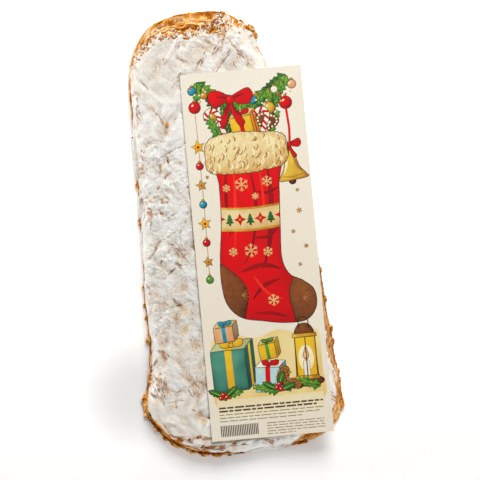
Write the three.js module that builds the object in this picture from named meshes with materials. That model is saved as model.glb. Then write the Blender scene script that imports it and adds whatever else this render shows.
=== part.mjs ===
// A glazed spice bread: a long, flat, tongue-shaped loaf with a narrow round head and a wide
// square foot, and a picture card that lies on its glaze and overhangs one long side.
// Millimetres. +Z is up, +Y runs along the loaf towards its narrow head, +X is to the right.
import * as THREE from 'three';

// Loaf, seen from above
const LOAF_LENGTH = 350;
const HEAD_HALF_WIDTH = 56.5; // where the round head cap starts
const LEFT_HALF_WIDTH = 69; // at the end of the taper, on the waisted side
const RIGHT_HALF_WIDTH = 76.5; // at the end of the taper, on the full side
const FOOT_SPREAD = 1.6; // how much each side still widens between taper and foot cap
const HEAD_CAP_LENGTH = 62.5;
const FOOT_CAP_LENGTH = 47;
const TAPER_END_Y = -94;
const HEAD_SQUARENESS = 2.5; // superellipse exponents of the end caps, 2 is an ellipse
const LEFT_FOOT_SQUARENESS = 2.5;
const RIGHT_FOOT_SQUARENESS = 3.2;
const LEFT_SWELLS = [{ swell: 8.5, y: -127, reach: 20 }]; // dough that ran out at the foot
const RIGHT_SWELLS = [
  { swell: 3.4, y: -30, reach: 40 }, // dough that ran out along the side
  { swell: 2.2, y: 156, reach: 10 }, // a knuckle at the head
  { swell: -2.4, y: 139, reach: 12 }, // and the slight waist below it
];
const EDGE_WOBBLES = [ // slow unevenness of the edge: waves round the loaf, depth, phase
  { waves: 7, depth: 0.45, phase: 0.4 },
  { waves: 16, depth: 0.3, phase: 2.1 },
  { waves: 29, depth: 0.22, phase: 4.3 },
];

// Loaf, seen from the side
const LOAF_HEIGHT = 20;
const SIDE_PROFILE = [ // from the base up: a thin foot of spread dough, the side, the shoulder
  { inset: 0.9, z: 0 },
  { inset: 0, z: 0.9 },
  { inset: 0.1, z: 2.4 },
  { inset: 1.3, z: 3.5 },
  { inset: 2.7, z: 4.2 },
  { inset: 3.2, z: 8 },
  { inset: 3.9, z: 12 },
  { inset: 5.2, z: 15.2 },
  { inset: 7.4, z: 17.4 },
  { inset: 10.4, z: 18.5 },
];
const FOOT_RINGS = 4; // rings of the thin foot, which the ones above draw back from
const SIDE_SWELL = { waves: 5, depth: 0.3, phase: 1.2 }; // the side stands back more here, less there
const HEAD_DOME = 0.85; // how much further the shoulder draws in at the head
const HEAD_DOME_START_Y = 105;
const TOP_RING_SCALES = [0.9, 0.78, 0.65, 0.52, 0.38, 0.24, 0.1];
const CROWN_SQUARENESS = 3; // how flat the middle of the top is
const TOP_WAVES = [ // shallow rolls under the glaze: length, depth, direction, phase
  { length: 47, depth: 0.22, heading: 0.5, phase: 0.3 },
  { length: 29, depth: 0.16, heading: 2.2, phase: 1.9 },
  { length: 73, depth: 0.2, heading: 1.4, phase: 4 },
];
const OUTLINE_POINTS = 132;

// Card
const CARD_WIDTH = 95;
const CARD_LENGTH = 287;
const CARD_THICKNESS = 0.45;
const CARD_CENTRE = new THREE.Vector2(26, -21.4);
const CARD_TURN = THREE.MathUtils.degToRad(-2.75);
const CARD_CURL = 0.6; // how far its long edges lift off the crown
const CARD_COLUMNS = 8;
const CARD_ROWS = 20;
const CONTACT_GAP = 0.3;

const glazedCrust = new THREE.MeshStandardMaterial({ color: 0xdfd5c8, roughness: 0.55 });
const cardPaper = new THREE.MeshStandardMaterial({ color: 0xeee3cd, roughness: 0.5 });

/** How far smooth bumps, each centred at its own y, push the edge out in all. */
function swellAt(bumps, y) {
  return bumps.reduce((sum, bump) => sum + bump.swell * Math.exp(-(((y - bump.y) / bump.reach) ** 2)), 0);
}

/** How much of the full width is left at a depth into an end cap, from 1 down to 0. */
function capFactor(depth, length, squareness) {
  const reached = THREE.MathUtils.clamp(depth / length, 0, 1);
  return (1 - reached ** squareness) ** (1 / squareness);
}

/** The loaf's edge, anticlockwise from the middle of its right side. */
class LoafOutline extends THREE.Curve {
  constructor() {
    super();
    this.arcLengthDivisions = 3000;
  }

  halfWidth(y, onRight) {
    const headStart = LOAF_LENGTH / 2 - HEAD_CAP_LENGTH;
    const footStart = FOOT_CAP_LENGTH - LOAF_LENGTH / 2;
    const fullWidth = onRight ? RIGHT_HALF_WIDTH : LEFT_HALF_WIDTH;
    const taper = THREE.MathUtils.clamp((headStart - y) / (headStart - TAPER_END_Y), 0, 1);
    const spread = THREE.MathUtils.clamp((TAPER_END_Y - y) / (TAPER_END_Y - footStart), 0, 1);
    const swell = swellAt(onRight ? RIGHT_SWELLS : LEFT_SWELLS, y);
    const body = THREE.MathUtils.lerp(HEAD_HALF_WIDTH, fullWidth, taper) + spread * FOOT_SPREAD + swell;
    const footSquareness = onRight ? RIGHT_FOOT_SQUARENESS : LEFT_FOOT_SQUARENESS;
    const head = capFactor(y - headStart, HEAD_CAP_LENGTH, HEAD_SQUARENESS);
    const foot = capFactor(footStart - y, FOOT_CAP_LENGTH, footSquareness);
    return body * head * foot;
  }

  getPoint(t, target = new THREE.Vector2()) {
    const angle = 2 * Math.PI * t;
    const y = (LOAF_LENGTH / 2) * Math.sin(angle);
    const onRight = Math.cos(angle) >= 0;
    return target.set((onRight ? 1 : -1) * this.halfWidth(y, onRight), y);
  }
}

/** The edge points, and the way that points inwards at each of them. */
function edgeOfLoaf() {
  const even = new LoafOutline().getSpacedPoints(OUTLINE_POINTS).slice(0, OUTLINE_POINTS);
  return even.map((point, i) => {
    const before = even.at(i - 1);
    const after = even[(i + 1) % OUTLINE_POINTS];
    const inwards = new THREE.Vector2(before.y - after.y, after.x - before.x).normalize();
    const turn = (2 * Math.PI * i) / OUTLINE_POINTS;
    const wobble = EDGE_WOBBLES.reduce((sum, w) => sum + w.depth * Math.sin(w.waves * turn + w.phase), 0);
    return { place: point.clone().addScaledVector(inwards, wobble), inwards };
  });
}

/** Height of the top's shallow rolls at a point. */
function topRoll(x, y) {
  return TOP_WAVES.reduce((sum, wave) => {
    const along = x * Math.cos(wave.heading) + y * Math.sin(wave.heading);
    return sum + wave.depth * Math.sin((2 * Math.PI * along) / wave.length + wave.phase);
  }, 0);
}

/** One closed loop round the loaf at a step of the side profile. */
function sideRing(edge, { inset, z }, step) {
  return edge.map(({ place, inwards }, i) => {
    const atHead = THREE.MathUtils.smoothstep(place.y, HEAD_DOME_START_Y, LOAF_LENGTH / 2);
    const turn = (2 * Math.PI * i) / OUTLINE_POINTS;
    const swell = SIDE_SWELL.depth * Math.sin(SIDE_SWELL.waves * turn + SIDE_SWELL.phase);
    const drawnBack = step < FOOT_RINGS ? 1 : 1 + HEAD_DOME * atHead + swell;
    const point = place.clone().addScaledVector(inwards, inset * drawnBack);
    return new THREE.Vector3(point.x, point.y, z);
  });
}

/** One closed loop of the crowned top, the shoulder's loop shrunk towards the middle. */
function topRing(shoulder, scale) {
  const rollDepth = TOP_WAVES.reduce((sum, wave) => sum + wave.depth, 0);
  const crown = LOAF_HEIGHT - rollDepth;
  return shoulder.map((point) => {
    const x = point.x * scale;
    const y = point.y * scale;
    const z = THREE.MathUtils.lerp(crown, point.z, scale ** CROWN_SQUARENESS);
    return new THREE.Vector3(x, y, z + topRoll(x, y) * (1 - scale ** CROWN_SQUARENESS));
  });
}

/** A closed body from loops that climb from its flat base to the middle of its top. */
function bodyFromRings(rings) {
  const count = rings[0].length;
  const points = rings.flat();
  const baseCentre = points.push(new THREE.Vector3(0, 0, rings[0][0].z)) - 1;
  const topMiddle = rings.at(-1).reduce((sum, point) => sum + point.z, 0) / count;
  const topCentre = points.push(new THREE.Vector3(0, 0, topMiddle)) - 1;
  const indices = [];
  for (let i = 0; i < count; i++) {
    const next = (i + 1) % count;
    indices.push(baseCentre, next, i);
    for (let ring = 0; ring < rings.length - 1; ring++) {
      const low = ring * count;
      const high = low + count;
      indices.push(low + i, low + next, high + next);
      indices.push(low + i, high + next, high + i);
    }
    const last = (rings.length - 1) * count;
    indices.push(last + i, last + next, topCentre);
  }
  const geometry = new THREE.BufferGeometry().setFromPoints(points);
  geometry.setIndex(indices);
  geometry.computeVertexNormals();
  return geometry;
}

function makeLoaf() {
  const edge = edgeOfLoaf();
  const sides = SIDE_PROFILE.map((step, i) => sideRing(edge, step, i));
  const tops = TOP_RING_SCALES.map((scale) => topRing(sides.at(-1), scale));
  const loaf = new THREE.Mesh(bodyFromRings([...sides, ...tops]), glazedCrust);
  loaf.name = 'loaf';
  return loaf;
}

function makeCard() {
  const geometry = new THREE.BoxGeometry(
    CARD_WIDTH, CARD_LENGTH, CARD_THICKNESS, CARD_COLUMNS, CARD_ROWS, 1);
  const places = geometry.attributes.position;
  for (let i = 0; i < places.count; i++) {
    const across = (2 * places.getX(i)) / CARD_WIDTH;
    places.setZ(i, places.getZ(i) + CARD_CURL * across ** 2);
  }
  geometry.computeVertexNormals();
  const card = new THREE.Mesh(geometry, cardPaper);
  card.name = 'card';
  card.position.set(CARD_CENTRE.x, CARD_CENTRE.y, LOAF_HEIGHT + CONTACT_GAP + CARD_THICKNESS / 2);
  card.rotation.z = CARD_TURN;
  return card;
}

/** Puts the origin at the middle of the bounding box's base. */
function centreOnBase(group) {
  const middle = new THREE.Box3().setFromObject(group, true).getCenter(new THREE.Vector3());
  group.position.set(-middle.x, -middle.y, 0);
}

const spiceBread = new THREE.Group();
spiceBread.add(makeLoaf(), makeCard());
centreOnBase(spiceBread);

export default spiceBread;
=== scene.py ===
"""Dresses a glazed spice bread and its picture card: baked crust, sugar glaze, crumbs and print."""

import itertools
import logging
import math
from collections.abc import Iterator
from contextlib import contextmanager
from dataclasses import dataclass, field
from enum import Enum

import bpy
import numpy as np
from mathutils import Euler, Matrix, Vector
from mathutils.geometry import delaunay_2d_cdt


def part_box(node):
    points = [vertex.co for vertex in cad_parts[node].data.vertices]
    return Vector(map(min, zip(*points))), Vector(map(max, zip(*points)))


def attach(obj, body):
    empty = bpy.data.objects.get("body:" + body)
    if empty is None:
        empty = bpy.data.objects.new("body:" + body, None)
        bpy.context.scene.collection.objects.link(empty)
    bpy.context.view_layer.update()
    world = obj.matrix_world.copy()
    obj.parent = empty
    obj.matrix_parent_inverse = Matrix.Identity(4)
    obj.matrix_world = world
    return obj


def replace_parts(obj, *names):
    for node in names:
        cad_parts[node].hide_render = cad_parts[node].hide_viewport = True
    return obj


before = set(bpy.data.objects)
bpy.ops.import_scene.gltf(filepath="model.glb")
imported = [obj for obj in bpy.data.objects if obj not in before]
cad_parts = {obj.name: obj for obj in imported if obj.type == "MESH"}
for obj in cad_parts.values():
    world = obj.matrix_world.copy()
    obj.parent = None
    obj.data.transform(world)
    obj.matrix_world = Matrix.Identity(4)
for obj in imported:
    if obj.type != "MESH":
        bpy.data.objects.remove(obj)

LOG = logging.getLogger("spice_bread")
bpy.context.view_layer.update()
MM = 0.001  # sizes below are in millimetres, and this turns them to metres
Points = np.ndarray
Values = np.ndarray
Path = tuple[tuple[float, float], ...]


# --- helpers ---


def smoothstep(low: float, high: float, value: Values) -> Values:
    """Rises smoothly from 0 at low to 1 at high, whichever of them is the larger."""
    share = np.clip((value - low) / (high - low), 0.0, 1.0)
    return share * share * (3.0 - 2.0 * share)


def linear(colour: str) -> tuple[float, float, float, float]:
    """Turns an sRGB hex colour to the linear one that shaders take.

    Args:
        colour: six hex digits after a hash sign.

    Returns:
        Red, green, blue and an alpha of 1.
    """
    parts = [int(colour[i : i + 2], 16) / 255 for i in (1, 3, 5)]
    red, green, blue = (c / 12.92 if c <= 0.04045 else ((c + 0.055) / 1.055) ** 2.4 for c in parts)
    return red, green, blue, 1.0


def start_fresh() -> None:
    """Deselects everything, so that the next operator acts on the new piece alone."""
    bpy.ops.object.select_all(action="DESELECT")


def make_active(piece: bpy.types.Object) -> None:
    """Selects one piece alone and makes it the active one.

    Args:
        piece: the piece that the next operator acts on.
    """
    start_fresh()
    piece.select_set(True)
    bpy.context.view_layer.objects.active = piece


@contextmanager
def editing(piece: bpy.types.Object, whole: bool = True) -> Iterator[None]:
    """Opens a piece in edit mode, all or nothing of it selected, and closes it afterwards.

    Args:
        piece: the piece to edit.
        whole: whether it starts with everything selected.
    """
    make_active(piece)
    bpy.ops.object.mode_set(mode="EDIT")
    bpy.ops.mesh.select_all(action="SELECT" if whole else "DESELECT")
    yield
    bpy.ops.object.mode_set(mode="OBJECT")


def rows_of(piece: bpy.types.Object, things: str, name: str) -> Points:
    """Reads one vector from each of a mesh's things.

    Args:
        piece: the mesh's piece.
        things: which of the mesh's lists they are in.
        name: what the vector is called there.

    Returns:
        One row for each.
    """
    source = getattr(piece.data, things)
    flat = np.empty(len(source) * 3)
    source.foreach_get(name, flat)
    return flat.reshape(-1, 3)


def vertices_of(piece: bpy.types.Object) -> Points:
    """The piece's vertices in millimetres, one row each."""
    return rows_of(piece, "vertices", "co") / MM


def normals_of(piece: bpy.types.Object) -> Points:
    """The piece's vertex normals, one row each."""
    return rows_of(piece, "vertex_normals", "vector")


def place_vertices(piece: bpy.types.Object, places: Points) -> None:
    """Moves the piece's vertices to places given in millimetres."""
    piece.data.vertices.foreach_set("co", (places * MM).ravel())
    piece.data.update()


def keep_values(piece: bpy.types.Object, name: str, values: Values) -> None:
    """Stores one number, or one vector, for each vertex, which a material reads by name.

    Args:
        piece: the mesh that carries the values.
        name: the attribute's name.
        values: one row for each vertex.
    """
    kind, key = ("FLOAT", "value") if values.ndim == 1 else ("FLOAT_VECTOR", "vector")
    attribute = piece.data.attributes.new(name, kind, "POINT")
    attribute.data.foreach_set(key, values.astype(np.float32).ravel())


def remesh(piece: bpy.types.Object, voxel: float) -> None:
    """Rebuilds a piece from even quads of about voxel millimetres.

    Args:
        piece: the piece to rebuild.
        voxel: the quads' size.
    """
    make_active(piece)
    piece.data.remesh_voxel_size = voxel * MM
    bpy.ops.object.voxel_remesh()


def rows(kind: type, *table: tuple) -> tuple:
    """Makes one thing of a kind from each row of a table."""
    return tuple(kind(*row) for row in table)


class Noise:
    """Seeded gradient noise for points in millimetres, about -1 to 1."""

    gain = 1.6  # brings the strongest swings near 1
    far = np.array([[0, 0, 0], [311.7, 0, 0], [0, 0, 173.3]])  # places that look nothing alike

    def __init__(self, seed: int) -> None:
        """Draws the noise's own lattice.

        Args:
            seed: what the lattice is drawn from.
        """
        generator = np.random.default_rng(seed)
        self._order = np.tile(generator.permutation(256), 2)
        slopes = generator.normal(size=(256, 3))
        self._slopes = slopes / np.linalg.norm(slopes, axis=1, keepdims=True)

    def at(self, points: Points, wavelength: float) -> Values:
        """One octave.

        Args:
            points: three coordinates a row, in millimetres.
            wavelength: the size of the noise's cells, in millimetres.

        Returns:
            One number for each point.
        """
        scaled = points / wavelength
        cell = np.floor(scaled).astype(int)
        within = scaled - cell
        fade = within**3 * (within * (within * 6.0 - 15.0) + 10.0)
        total = np.zeros(len(points))
        for corner in itertools.product((0, 1), repeat=3):
            key = self._order[(cell[:, 0] + corner[0]) & 255]
            key = self._order[(key + cell[:, 1] + corner[1]) & 255]
            key = self._order[(key + cell[:, 2] + corner[2]) & 255]
            slope = (self._slopes[key] * (within - corner)).sum(axis=1)
            total += slope * np.where(corner, fade, 1.0 - fade).prod(axis=1)
        return total * self.gain

    def layered(self, points: Points, wavelength: float, octaves: int = 3) -> Values:
        """Several octaves, each at half the wavelength and half the strength of the last.

        Args:
            points: three coordinates a row, in millimetres.
            wavelength: the first octave's size, in millimetres.
            octaves: how many there are.

        Returns:
            One number for each point.
        """
        return sum(self.at(points, wavelength / 2**i) / 2**i for i in range(octaves))

    def warped(self, points: Points, wavelength: float, reach: float) -> Points:
        """Points pushed about, so that what is drawn on them bends.

        Args:
            points: three coordinates a row, in millimetres.
            wavelength: the size of the bends.
            reach: how far a point moves.

        Returns:
            The moved points.
        """
        push = np.stack([self.at(points + step, wavelength) for step in self.far], axis=1)
        return points + reach * push


# --- the loaf's shape ---


@dataclass(frozen=True)
class Bump:
    """A soft widening of one side of the loaf."""

    swell: float
    y: float
    reach: float

    def at(self, y: Values) -> Values:
        """How much it adds at each y."""
        return self.swell * np.exp(-(((y - self.y) / self.reach) ** 2))


@dataclass
class TongueOutline:
    """The loaf seen from above, in its own frame, with the same sizes as the solid."""

    length: float = 350.0
    head_half_width: float = 56.5
    left_half_width: float = 69.0
    right_half_width: float = 76.5
    foot_spread: float = 1.6
    head_cap: float = 62.5
    foot_cap: float = 47.0
    taper_end_y: float = -94.0
    head_squareness: float = 2.5
    left_foot_squareness: float = 2.5
    right_foot_squareness: float = 3.2
    left_swells: tuple[Bump, ...] = rows(Bump, (8.5, -127.0, 20.0))
    right_swells: tuple[Bump, ...] = rows(
        Bump, (3.4, -30.0, 40.0), (2.2, 156.0, 10.0), (-2.4, 139.0, 12.0))
    wobbles: tuple[tuple[int, float, float], ...] = (
        (7, 0.45, 0.4), (16, 0.3, 2.1), (29, 0.22, 4.3))
    samples: int = 6001

    def half_width(self, y: Values, on_right: Values) -> Values:
        """How far the edge stands from the loaf's axis.

        Args:
            y: places along the axis.
            on_right: whether each is on the right side.

        Returns:
            The half width at each place.
        """
        head_start = self.length / 2 - self.head_cap
        foot_start = self.foot_cap - self.length / 2
        full = np.where(on_right, self.right_half_width, self.left_half_width)
        taper = np.clip((head_start - y) / (head_start - self.taper_end_y), 0, 1)
        spread = np.clip((self.taper_end_y - y) / (self.taper_end_y - foot_start), 0, 1)
        left, right = (
            sum(bump.at(y) for bump in side) for side in (self.left_swells, self.right_swells))
        swell = np.where(on_right, right, left)
        body = self.head_half_width + (full - self.head_half_width) * taper
        body = body + spread * self.foot_spread + swell
        squareness = np.where(on_right, self.right_foot_squareness, self.left_foot_squareness)
        head = self._cap(y - head_start, self.head_cap, self.head_squareness)
        return body * head * self._cap(foot_start - y, self.foot_cap, squareness)

    @staticmethod
    def _cap(depth: Values, length: float, squareness: Values) -> Values:
        """How much width is left at a depth into an end cap, from 1 down to 0."""
        return (1 - np.clip(depth / length, 0, 1) ** squareness) ** (1 / squareness)

    def even_points(self, count: int) -> tuple[Points, Points]:
        """Points a steady distance apart, anticlockwise from the middle of the right side.

        Args:
            count: how many points.

        Returns:
            The points, and the way that points inwards at each.
        """
        angle = np.linspace(0, 2 * np.pi, self.samples)
        y = self.length / 2 * np.sin(angle)
        on_right = np.cos(angle) >= 0
        x = np.where(on_right, 1, -1) * self.half_width(y, on_right)
        dense = np.stack([x, y], axis=1)
        walked = np.concatenate([[0], np.cumsum(np.linalg.norm(np.diff(dense, axis=0), axis=1))])
        stops = np.arange(count) / count * walked[-1]
        even = np.stack([np.interp(stops, walked, dense[:, i]) for i in (0, 1)], axis=1)
        along = np.roll(even, -1, axis=0) - np.roll(even, 1, axis=0)
        inwards = np.stack([-along[:, 1], along[:, 0]], axis=1)
        inwards /= np.linalg.norm(inwards, axis=1, keepdims=True)
        turn = 2 * np.pi * np.arange(count) / count
        wobble = sum(depth * np.sin(waves * turn + phase) for waves, depth, phase in self.wobbles)
        return even + inwards * wobble[:, None], inwards


@dataclass
class EdgeSense:
    """Where each point of the loaf stands against its edge."""

    inset: Values
    inwards: Points
    turn: Values


@dataclass
class LoafShape:
    """The loaf's plain body, before the dough's relief."""

    outline: TongueOutline = field(default_factory=TongueOutline)
    rim_points: int = 264
    rim_play: float = 0.9
    foot_height: float = 2.2
    steps: tuple[tuple[float, float], ...] = (
        (1.2, 1.2), (1.3, 0.7), (0.6, 3.7), (0.7, 4.0), (1.3, 3.1), (2.2, 2.1), (3.0, 0.9))
    crown: float = 0.6
    crown_reach: float = 40.0
    head_dome: float = 0.85
    head_dome_start: float = 105.0
    shoulder: float = 10.4
    settles_at: float = 44.0
    ledge_height: float = 3.9
    side_swell: float = 0.3
    side_waves: int = 5
    side_phase: float = 1.2

    def __post_init__(self) -> None:
        """Finds the edge once, and how far the loaf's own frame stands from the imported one."""
        self.rim, self.rim_inwards = self.outline.even_points(self.rim_points)
        low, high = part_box("loaf")
        middle = np.array([(low.x + high.x) / 2, (low.y + high.y) / 2]) / MM
        own_middle = (self.rim.min(axis=0) + self.rim.max(axis=0)) / 2
        self.shift = np.array([*(middle - own_middle), 0.0])

    def plain_body(self, name: str) -> bpy.types.Object:
        """Extrudes and insets the tongue's face into a closed loaf with a thin foot.

        Args:
            name: the new piece's name.

        Returns:
            The piece, in the loaf's own frame.
        """
        start_fresh()
        bpy.ops.mesh.primitive_circle_add(vertices=self.rim_points, radius=1.0, fill_type="NGON")
        piece = bpy.context.object
        piece.name = name
        circle = vertices_of(piece)
        share = (np.arctan2(circle[:, 1], circle[:, 0]) / (2 * np.pi)) % 1.0
        nearest = np.round(share * self.rim_points).astype(int) % self.rim_points
        edge = self.rim + self.rim_inwards * self.rim_play
        place_vertices(piece, np.column_stack([edge[nearest], np.zeros(len(circle))]))
        with editing(piece):
            rise = (0, 0, self.foot_height * MM)
            bpy.ops.mesh.extrude_region_move(TRANSFORM_OT_translate={"value": rise})
            for inset, height in self.steps:
                bpy.ops.mesh.inset(thickness=inset * MM, depth=height * MM, use_even_offset=True)
            bpy.ops.mesh.select_all(action="SELECT")
            bpy.ops.mesh.normals_make_consistent(inside=False)
        return piece

    def sense_edge(self, places: Points) -> EdgeSense:
        """Measures each point's way to the nearest stretch of the loaf's edge.

        Args:
            places: points in the loaf's own frame.

        Returns:
            The inset from the edge, the inward way there, and the share of the way round.
        """
        best = np.full(len(places), np.inf)
        inwards = np.zeros((len(places), 2))
        turn = np.zeros(len(places))
        ends = np.roll(self.rim, -1, axis=0)
        next_inwards = np.roll(self.rim_inwards, -1, axis=0)
        for i, (start, end) in enumerate(zip(self.rim, ends)):
            run = end - start
            share = np.clip((places[:, :2] - start) @ run / (run @ run), 0, 1)
            gap = np.linalg.norm(places[:, :2] - start - share[:, None] * run, axis=1)
            nearer = gap < best
            best[nearer] = gap[nearer]
            blend = share[nearer, None]
            inwards[nearer] = (1 - blend) * self.rim_inwards[i] + blend * next_inwards[i]
            turn[nearer] = (i + share[nearer]) / self.rim_points
        return EdgeSense(best, inwards, turn)

    def settle(self, piece: bpy.types.Object) -> EdgeSense:
        """Crowns the top, draws the sides back by turns and domes the narrow head.

        Args:
            piece: a remeshed plain body.

        Returns:
            The edge sense of its vertices as they were before.
        """
        places = vertices_of(piece)
        sense = self.sense_edge(places)
        above = places[:, 2] > self.ledge_height
        at_head = smoothstep(self.head_dome_start, self.outline.length / 2, places[:, 1])
        swell = self.side_swell * np.sin(2 * np.pi * self.side_waves * sense.turn + self.side_phase)
        fades = 1 - smoothstep(self.shoulder, self.settles_at, sense.inset)
        back = np.minimum(sense.inset, self.shoulder) * fades * (self.head_dome * at_head + swell)
        places[:, :2] += sense.inwards * (back * above)[:, None]
        crown = self.crown * smoothstep(self.shoulder, self.crown_reach, sense.inset)
        places[:, 2] += crown * above
        place_vertices(piece, places)
        return sense


# --- marks in dough and glaze, in the loaf's own frame ---


@dataclass(frozen=True)
class RimSpot:
    """How wide the crust is left bare at one place on the rim; below zero the glaze runs over."""

    x: float
    y: float
    bare: float


@dataclass(frozen=True)
class WornPatch:
    """A patch where the glaze is thin along near-parallel wrinkles, heading in degrees from +X."""

    x: float
    y: float
    heading: float
    length: float
    width: float
    strength: float
    stretch: float = 0.2


@dataclass(frozen=True)
class Crack:
    """A crack in the glaze along a few points; where it is warm, honey dough shows in it."""

    points: Path
    depth: float
    width: float = 0.7
    warmth: float = 0.1


@dataclass(frozen=True)
class Spot:
    """A soft round spot."""

    x: float
    y: float
    radius: float
    strength: float


@dataclass(frozen=True)
class Lump:
    """A lump of sugar that dried proud of the glaze."""

    x: float
    y: float
    radius: float
    height: float


RIM_SPOTS = rows(
    RimSpot,
    (-58, 90, 0.9), (-57, 104, 2.2), (-57, 115, 3.2), (-57, 125, 3.0), (-56, 138, 1.9),
    (-53, 146, 2.6), (-46, 153, 3.6), (-32, 162, 6.0), (-20, 167, 7.5), (-8, 170, 8.0),
    (4, 171, 8.5), (14, 170, 8.5), (22, 168, 4.5), (30, 163, 4.0), (38, 158, 2.2), (45, 152, 2.4),
    (48, 142, 1.5), (51, 133, 1.4), (54, 126, -1.5), (57, 117, 2.0), (61, 80, 2.5), (66, 40, 3.5),
    (71, 0, 4.0), (74, -41, 7.0), (75, -65, 8.0), (76, -88, 9.0), (77, -104, 8.5), (77, -119, 5.0),
    (77, -130, 4.2), (77, -142, 5.0), (76, -152, 7.0), (66, -165, 9.5), (56, -169, 9.0),
    (47, -171, 8.0), (38, -173, 4.5), (30, -174, 1.5), (22, -175, -3.0), (11, -175, -5.0),
    (1, -175, 0.8), (-12, -174, 3.6), (-22, -173, 4.8), (-36, -171, 4.6), (-49, -167, 4.2),
    (-60, -160, 4.2), (-70, -150, 4.0), (-76, -137, 3.5), (-78, -124, 3.1), (-75, -110, 2.5),
    (-70, -96, 2.8), (-68, -80, 2.6), (-66, -60, 2.0), (-64, -40, 1.8), (-63, -25, 1.6),
    (-62, -12, 1.0), (-61, 0, -1.0), (-61, 14, 1.8), (-60, 28, -1.0), (-60, 44, 2.2),
    (-59, 58, -1.2), (-58, 76, -2.0),
)
WORN_PATCHES = rows(
    WornPatch,
    (-33, -13, 130, 9, 4.0, 0.95), (-35, -23, 130, 5, 2.0, 0.75), (-43, -28, 39, 8, 1.3, 0.8),
    (-48, -17, 60, 4, 1.6, 0.8, 0.4), (-40, -53, 128, 6, 2.0, 0.8), (-56, -90, 112, 8, 3.2, 0.8),
    (-62, -94, 55, 4, 1.0, 0.95), (-62, -114, 100, 11, 5.0, 1.0, 0.34),
    (-68, -121, 128, 5, 1.8, 0.9), (-36, -117, 112, 10, 6.5, 0.75, 0.3),
    (-25, -122, 118, 7, 2.0, 0.8), (-46, -120, 20, 6, 1.6, 0.6, 0.4),
    (-30, -86, 100, 7, 4.0, 0.6, 0.4), (-50, 100, 90, 14, 3.0, 0.65, 0.42),
    (-51, 66, 92, 9, 2.6, 0.7, 0.45), (-53, 55, 88, 6, 4.0, 0.8, 0.42),
    (-52, 20, 92, 11, 2.2, 0.85, 0.42), (-56, 28, 90, 8, 2.0, 0.7, 0.42),
    (-61, -37, 92, 6, 1.4, 0.8, 0.4), (-43, 40, 50, 5, 1.0, 0.95), (-34, 49, 48, 4, 1.4, 1.0),
    (-48, 114, 128, 5, 1.2, 0.8), (-43, 121, 127, 5, 1.2, 0.9), (3, 133, 58, 12, 3.6, 0.6),
    (17, 140, 50, 8, 2.0, 0.65), (33, 137, 130, 9, 2.6, 0.75, 0.35), (20, 132, 48, 4, 1.2, 0.8),
    (29, 130, 100, 7, 5.0, 0.5, 0.45), (-12, 149, 60, 5, 2.0, 0.6),
    (-22, 135, 120, 8, 4.0, 0.4, 0.4), (-34, 130, 60, 8, 4.0, 0.45, 0.45),
    (15, -167, 159, 7, 3.0, 0.9, 0.4), (26, -163, 20, 9, 4.0, 0.6, 0.4),
    (-53, -156, 161, 11, 1.6, 1.1, 0.2), (-35, -159, 172, 11, 1.6, 1.1, 0.2),
    (-46, -164, 172, 13, 1.4, 1.1, 0.2), (-26, -167, 178, 11, 1.5, 1.1, 0.2),
    (-8, -167, 178, 9, 1.3, 1.0, 0.2), (-17, -162, 176, 8, 1.2, 0.9, 0.2),
)
CRACKS = rows(
    Crack,
    (((-21, 69), (-26, 68), (-31, 65), (-34, 64), (-34, 61), (-33, 57)), 1.0, 0.8, 0.15),
    (((-35, 63), (-38, 62), (-44, 62)), 0.6, 0.6),
    (((-48, 72), (-44, 75), (-37, 76), (-33, 75), (-31, 73)), 0.5, 0.6, 0.6),
    (((-39, 102), (-35, 94), (-32, 89)), 0.7, 1.1, 0.9), (((-24, 90), (-17, 91)), 0.5, 0.6, 0.4),
    (((-33, 4), (-39, 0), (-44, -1), (-51, -6), (-54, -10), (-57, -15), (-59, -17)), 0.8, 0.8, 0.7),
    (((-22, 18), (-24, 15), (-26, 9), (-29, 4), (-31, 0), (-31, -7)), 0.6, 0.6, 0.3),
    (((-32, 19), (-36, 16), (-39, 14)), 0.7, 0.6, 0.2),
    (((-41, 30), (-47, 29), (-50, 27)), 1.0, 0.8, 0.7),
    (((-55, -24), (-57, -28), (-59, -30)), 0.9, 0.8, 0.4),
    (((-22, -34), (-26, -36), (-29, -33)), 0.6, 0.5),
    (((-28, -52), (-35, -53), (-45, -54), (-49, -57), (-55, -61), (-60, -65)), 0.8, 0.6, 0.4),
    (((-36, -55), (-42, -49)), 0.5, 0.6, 0.6),
    (((-24, -146), (-30, -143), (-35, -139)), 0.7, 0.8, 0.5),
    (((24, 159), (24, 148), (22, 144)), 1.0, 0.9, 0.5),
    (((26, 151), (29, 143), (38, 131)), 0.6, 0.7, 0.6),
)
HOLLOWS = rows(
    Crack,
    (((-60, -153), (-52, -157.5), (-44, -159)), 7.0, 1.5), (((-39, -157), (-30, -160)), 7.0, 1.5),
    (((-56, -162), (-47, -165), (-36, -164.5)), 7.0, 1.2),
    (((-34, -166.5), (-20, -166.5)), 7.0, 1.2), (((-14, -165.5), (-4, -167)), 6.0, 1.1),
    (((14, -165), (22, -168)), 6.0, 2.6), (((24, -160), (33, -164)), 4.0, 2.0),
    (((30, 161.5), (35, 156.5)), 7.0, 2.4), (((-27, 157), (-17, 161)), 7.0, 3.2),
    (((14, 162), (20, 158)), 4.0, 2.6),
)
# Lines of painted shadow under the crust's shelves near the head and the foot, drawn like cracks:
# depth is how dark each line is.
LEDGE_SHADOWS = rows(
    Crack,
    (((-30, 161.5), (-24, 165.5), (-18, 167), (-11, 168.5), (-5, 169.5)), 0.9, 0.9),
    (((-46, 149), (-43, 152), (-40, 155)), 0.8, 0.9),
    (((12, 171), (20, 170.5), (27, 168)), 0.8, 0.8), (((41, 155), (47, 148), (49, 142)), 0.9, 1.0),
    (((44, -167), (52, -166), (60, -162)), 0.45, 0.8),
)
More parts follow.
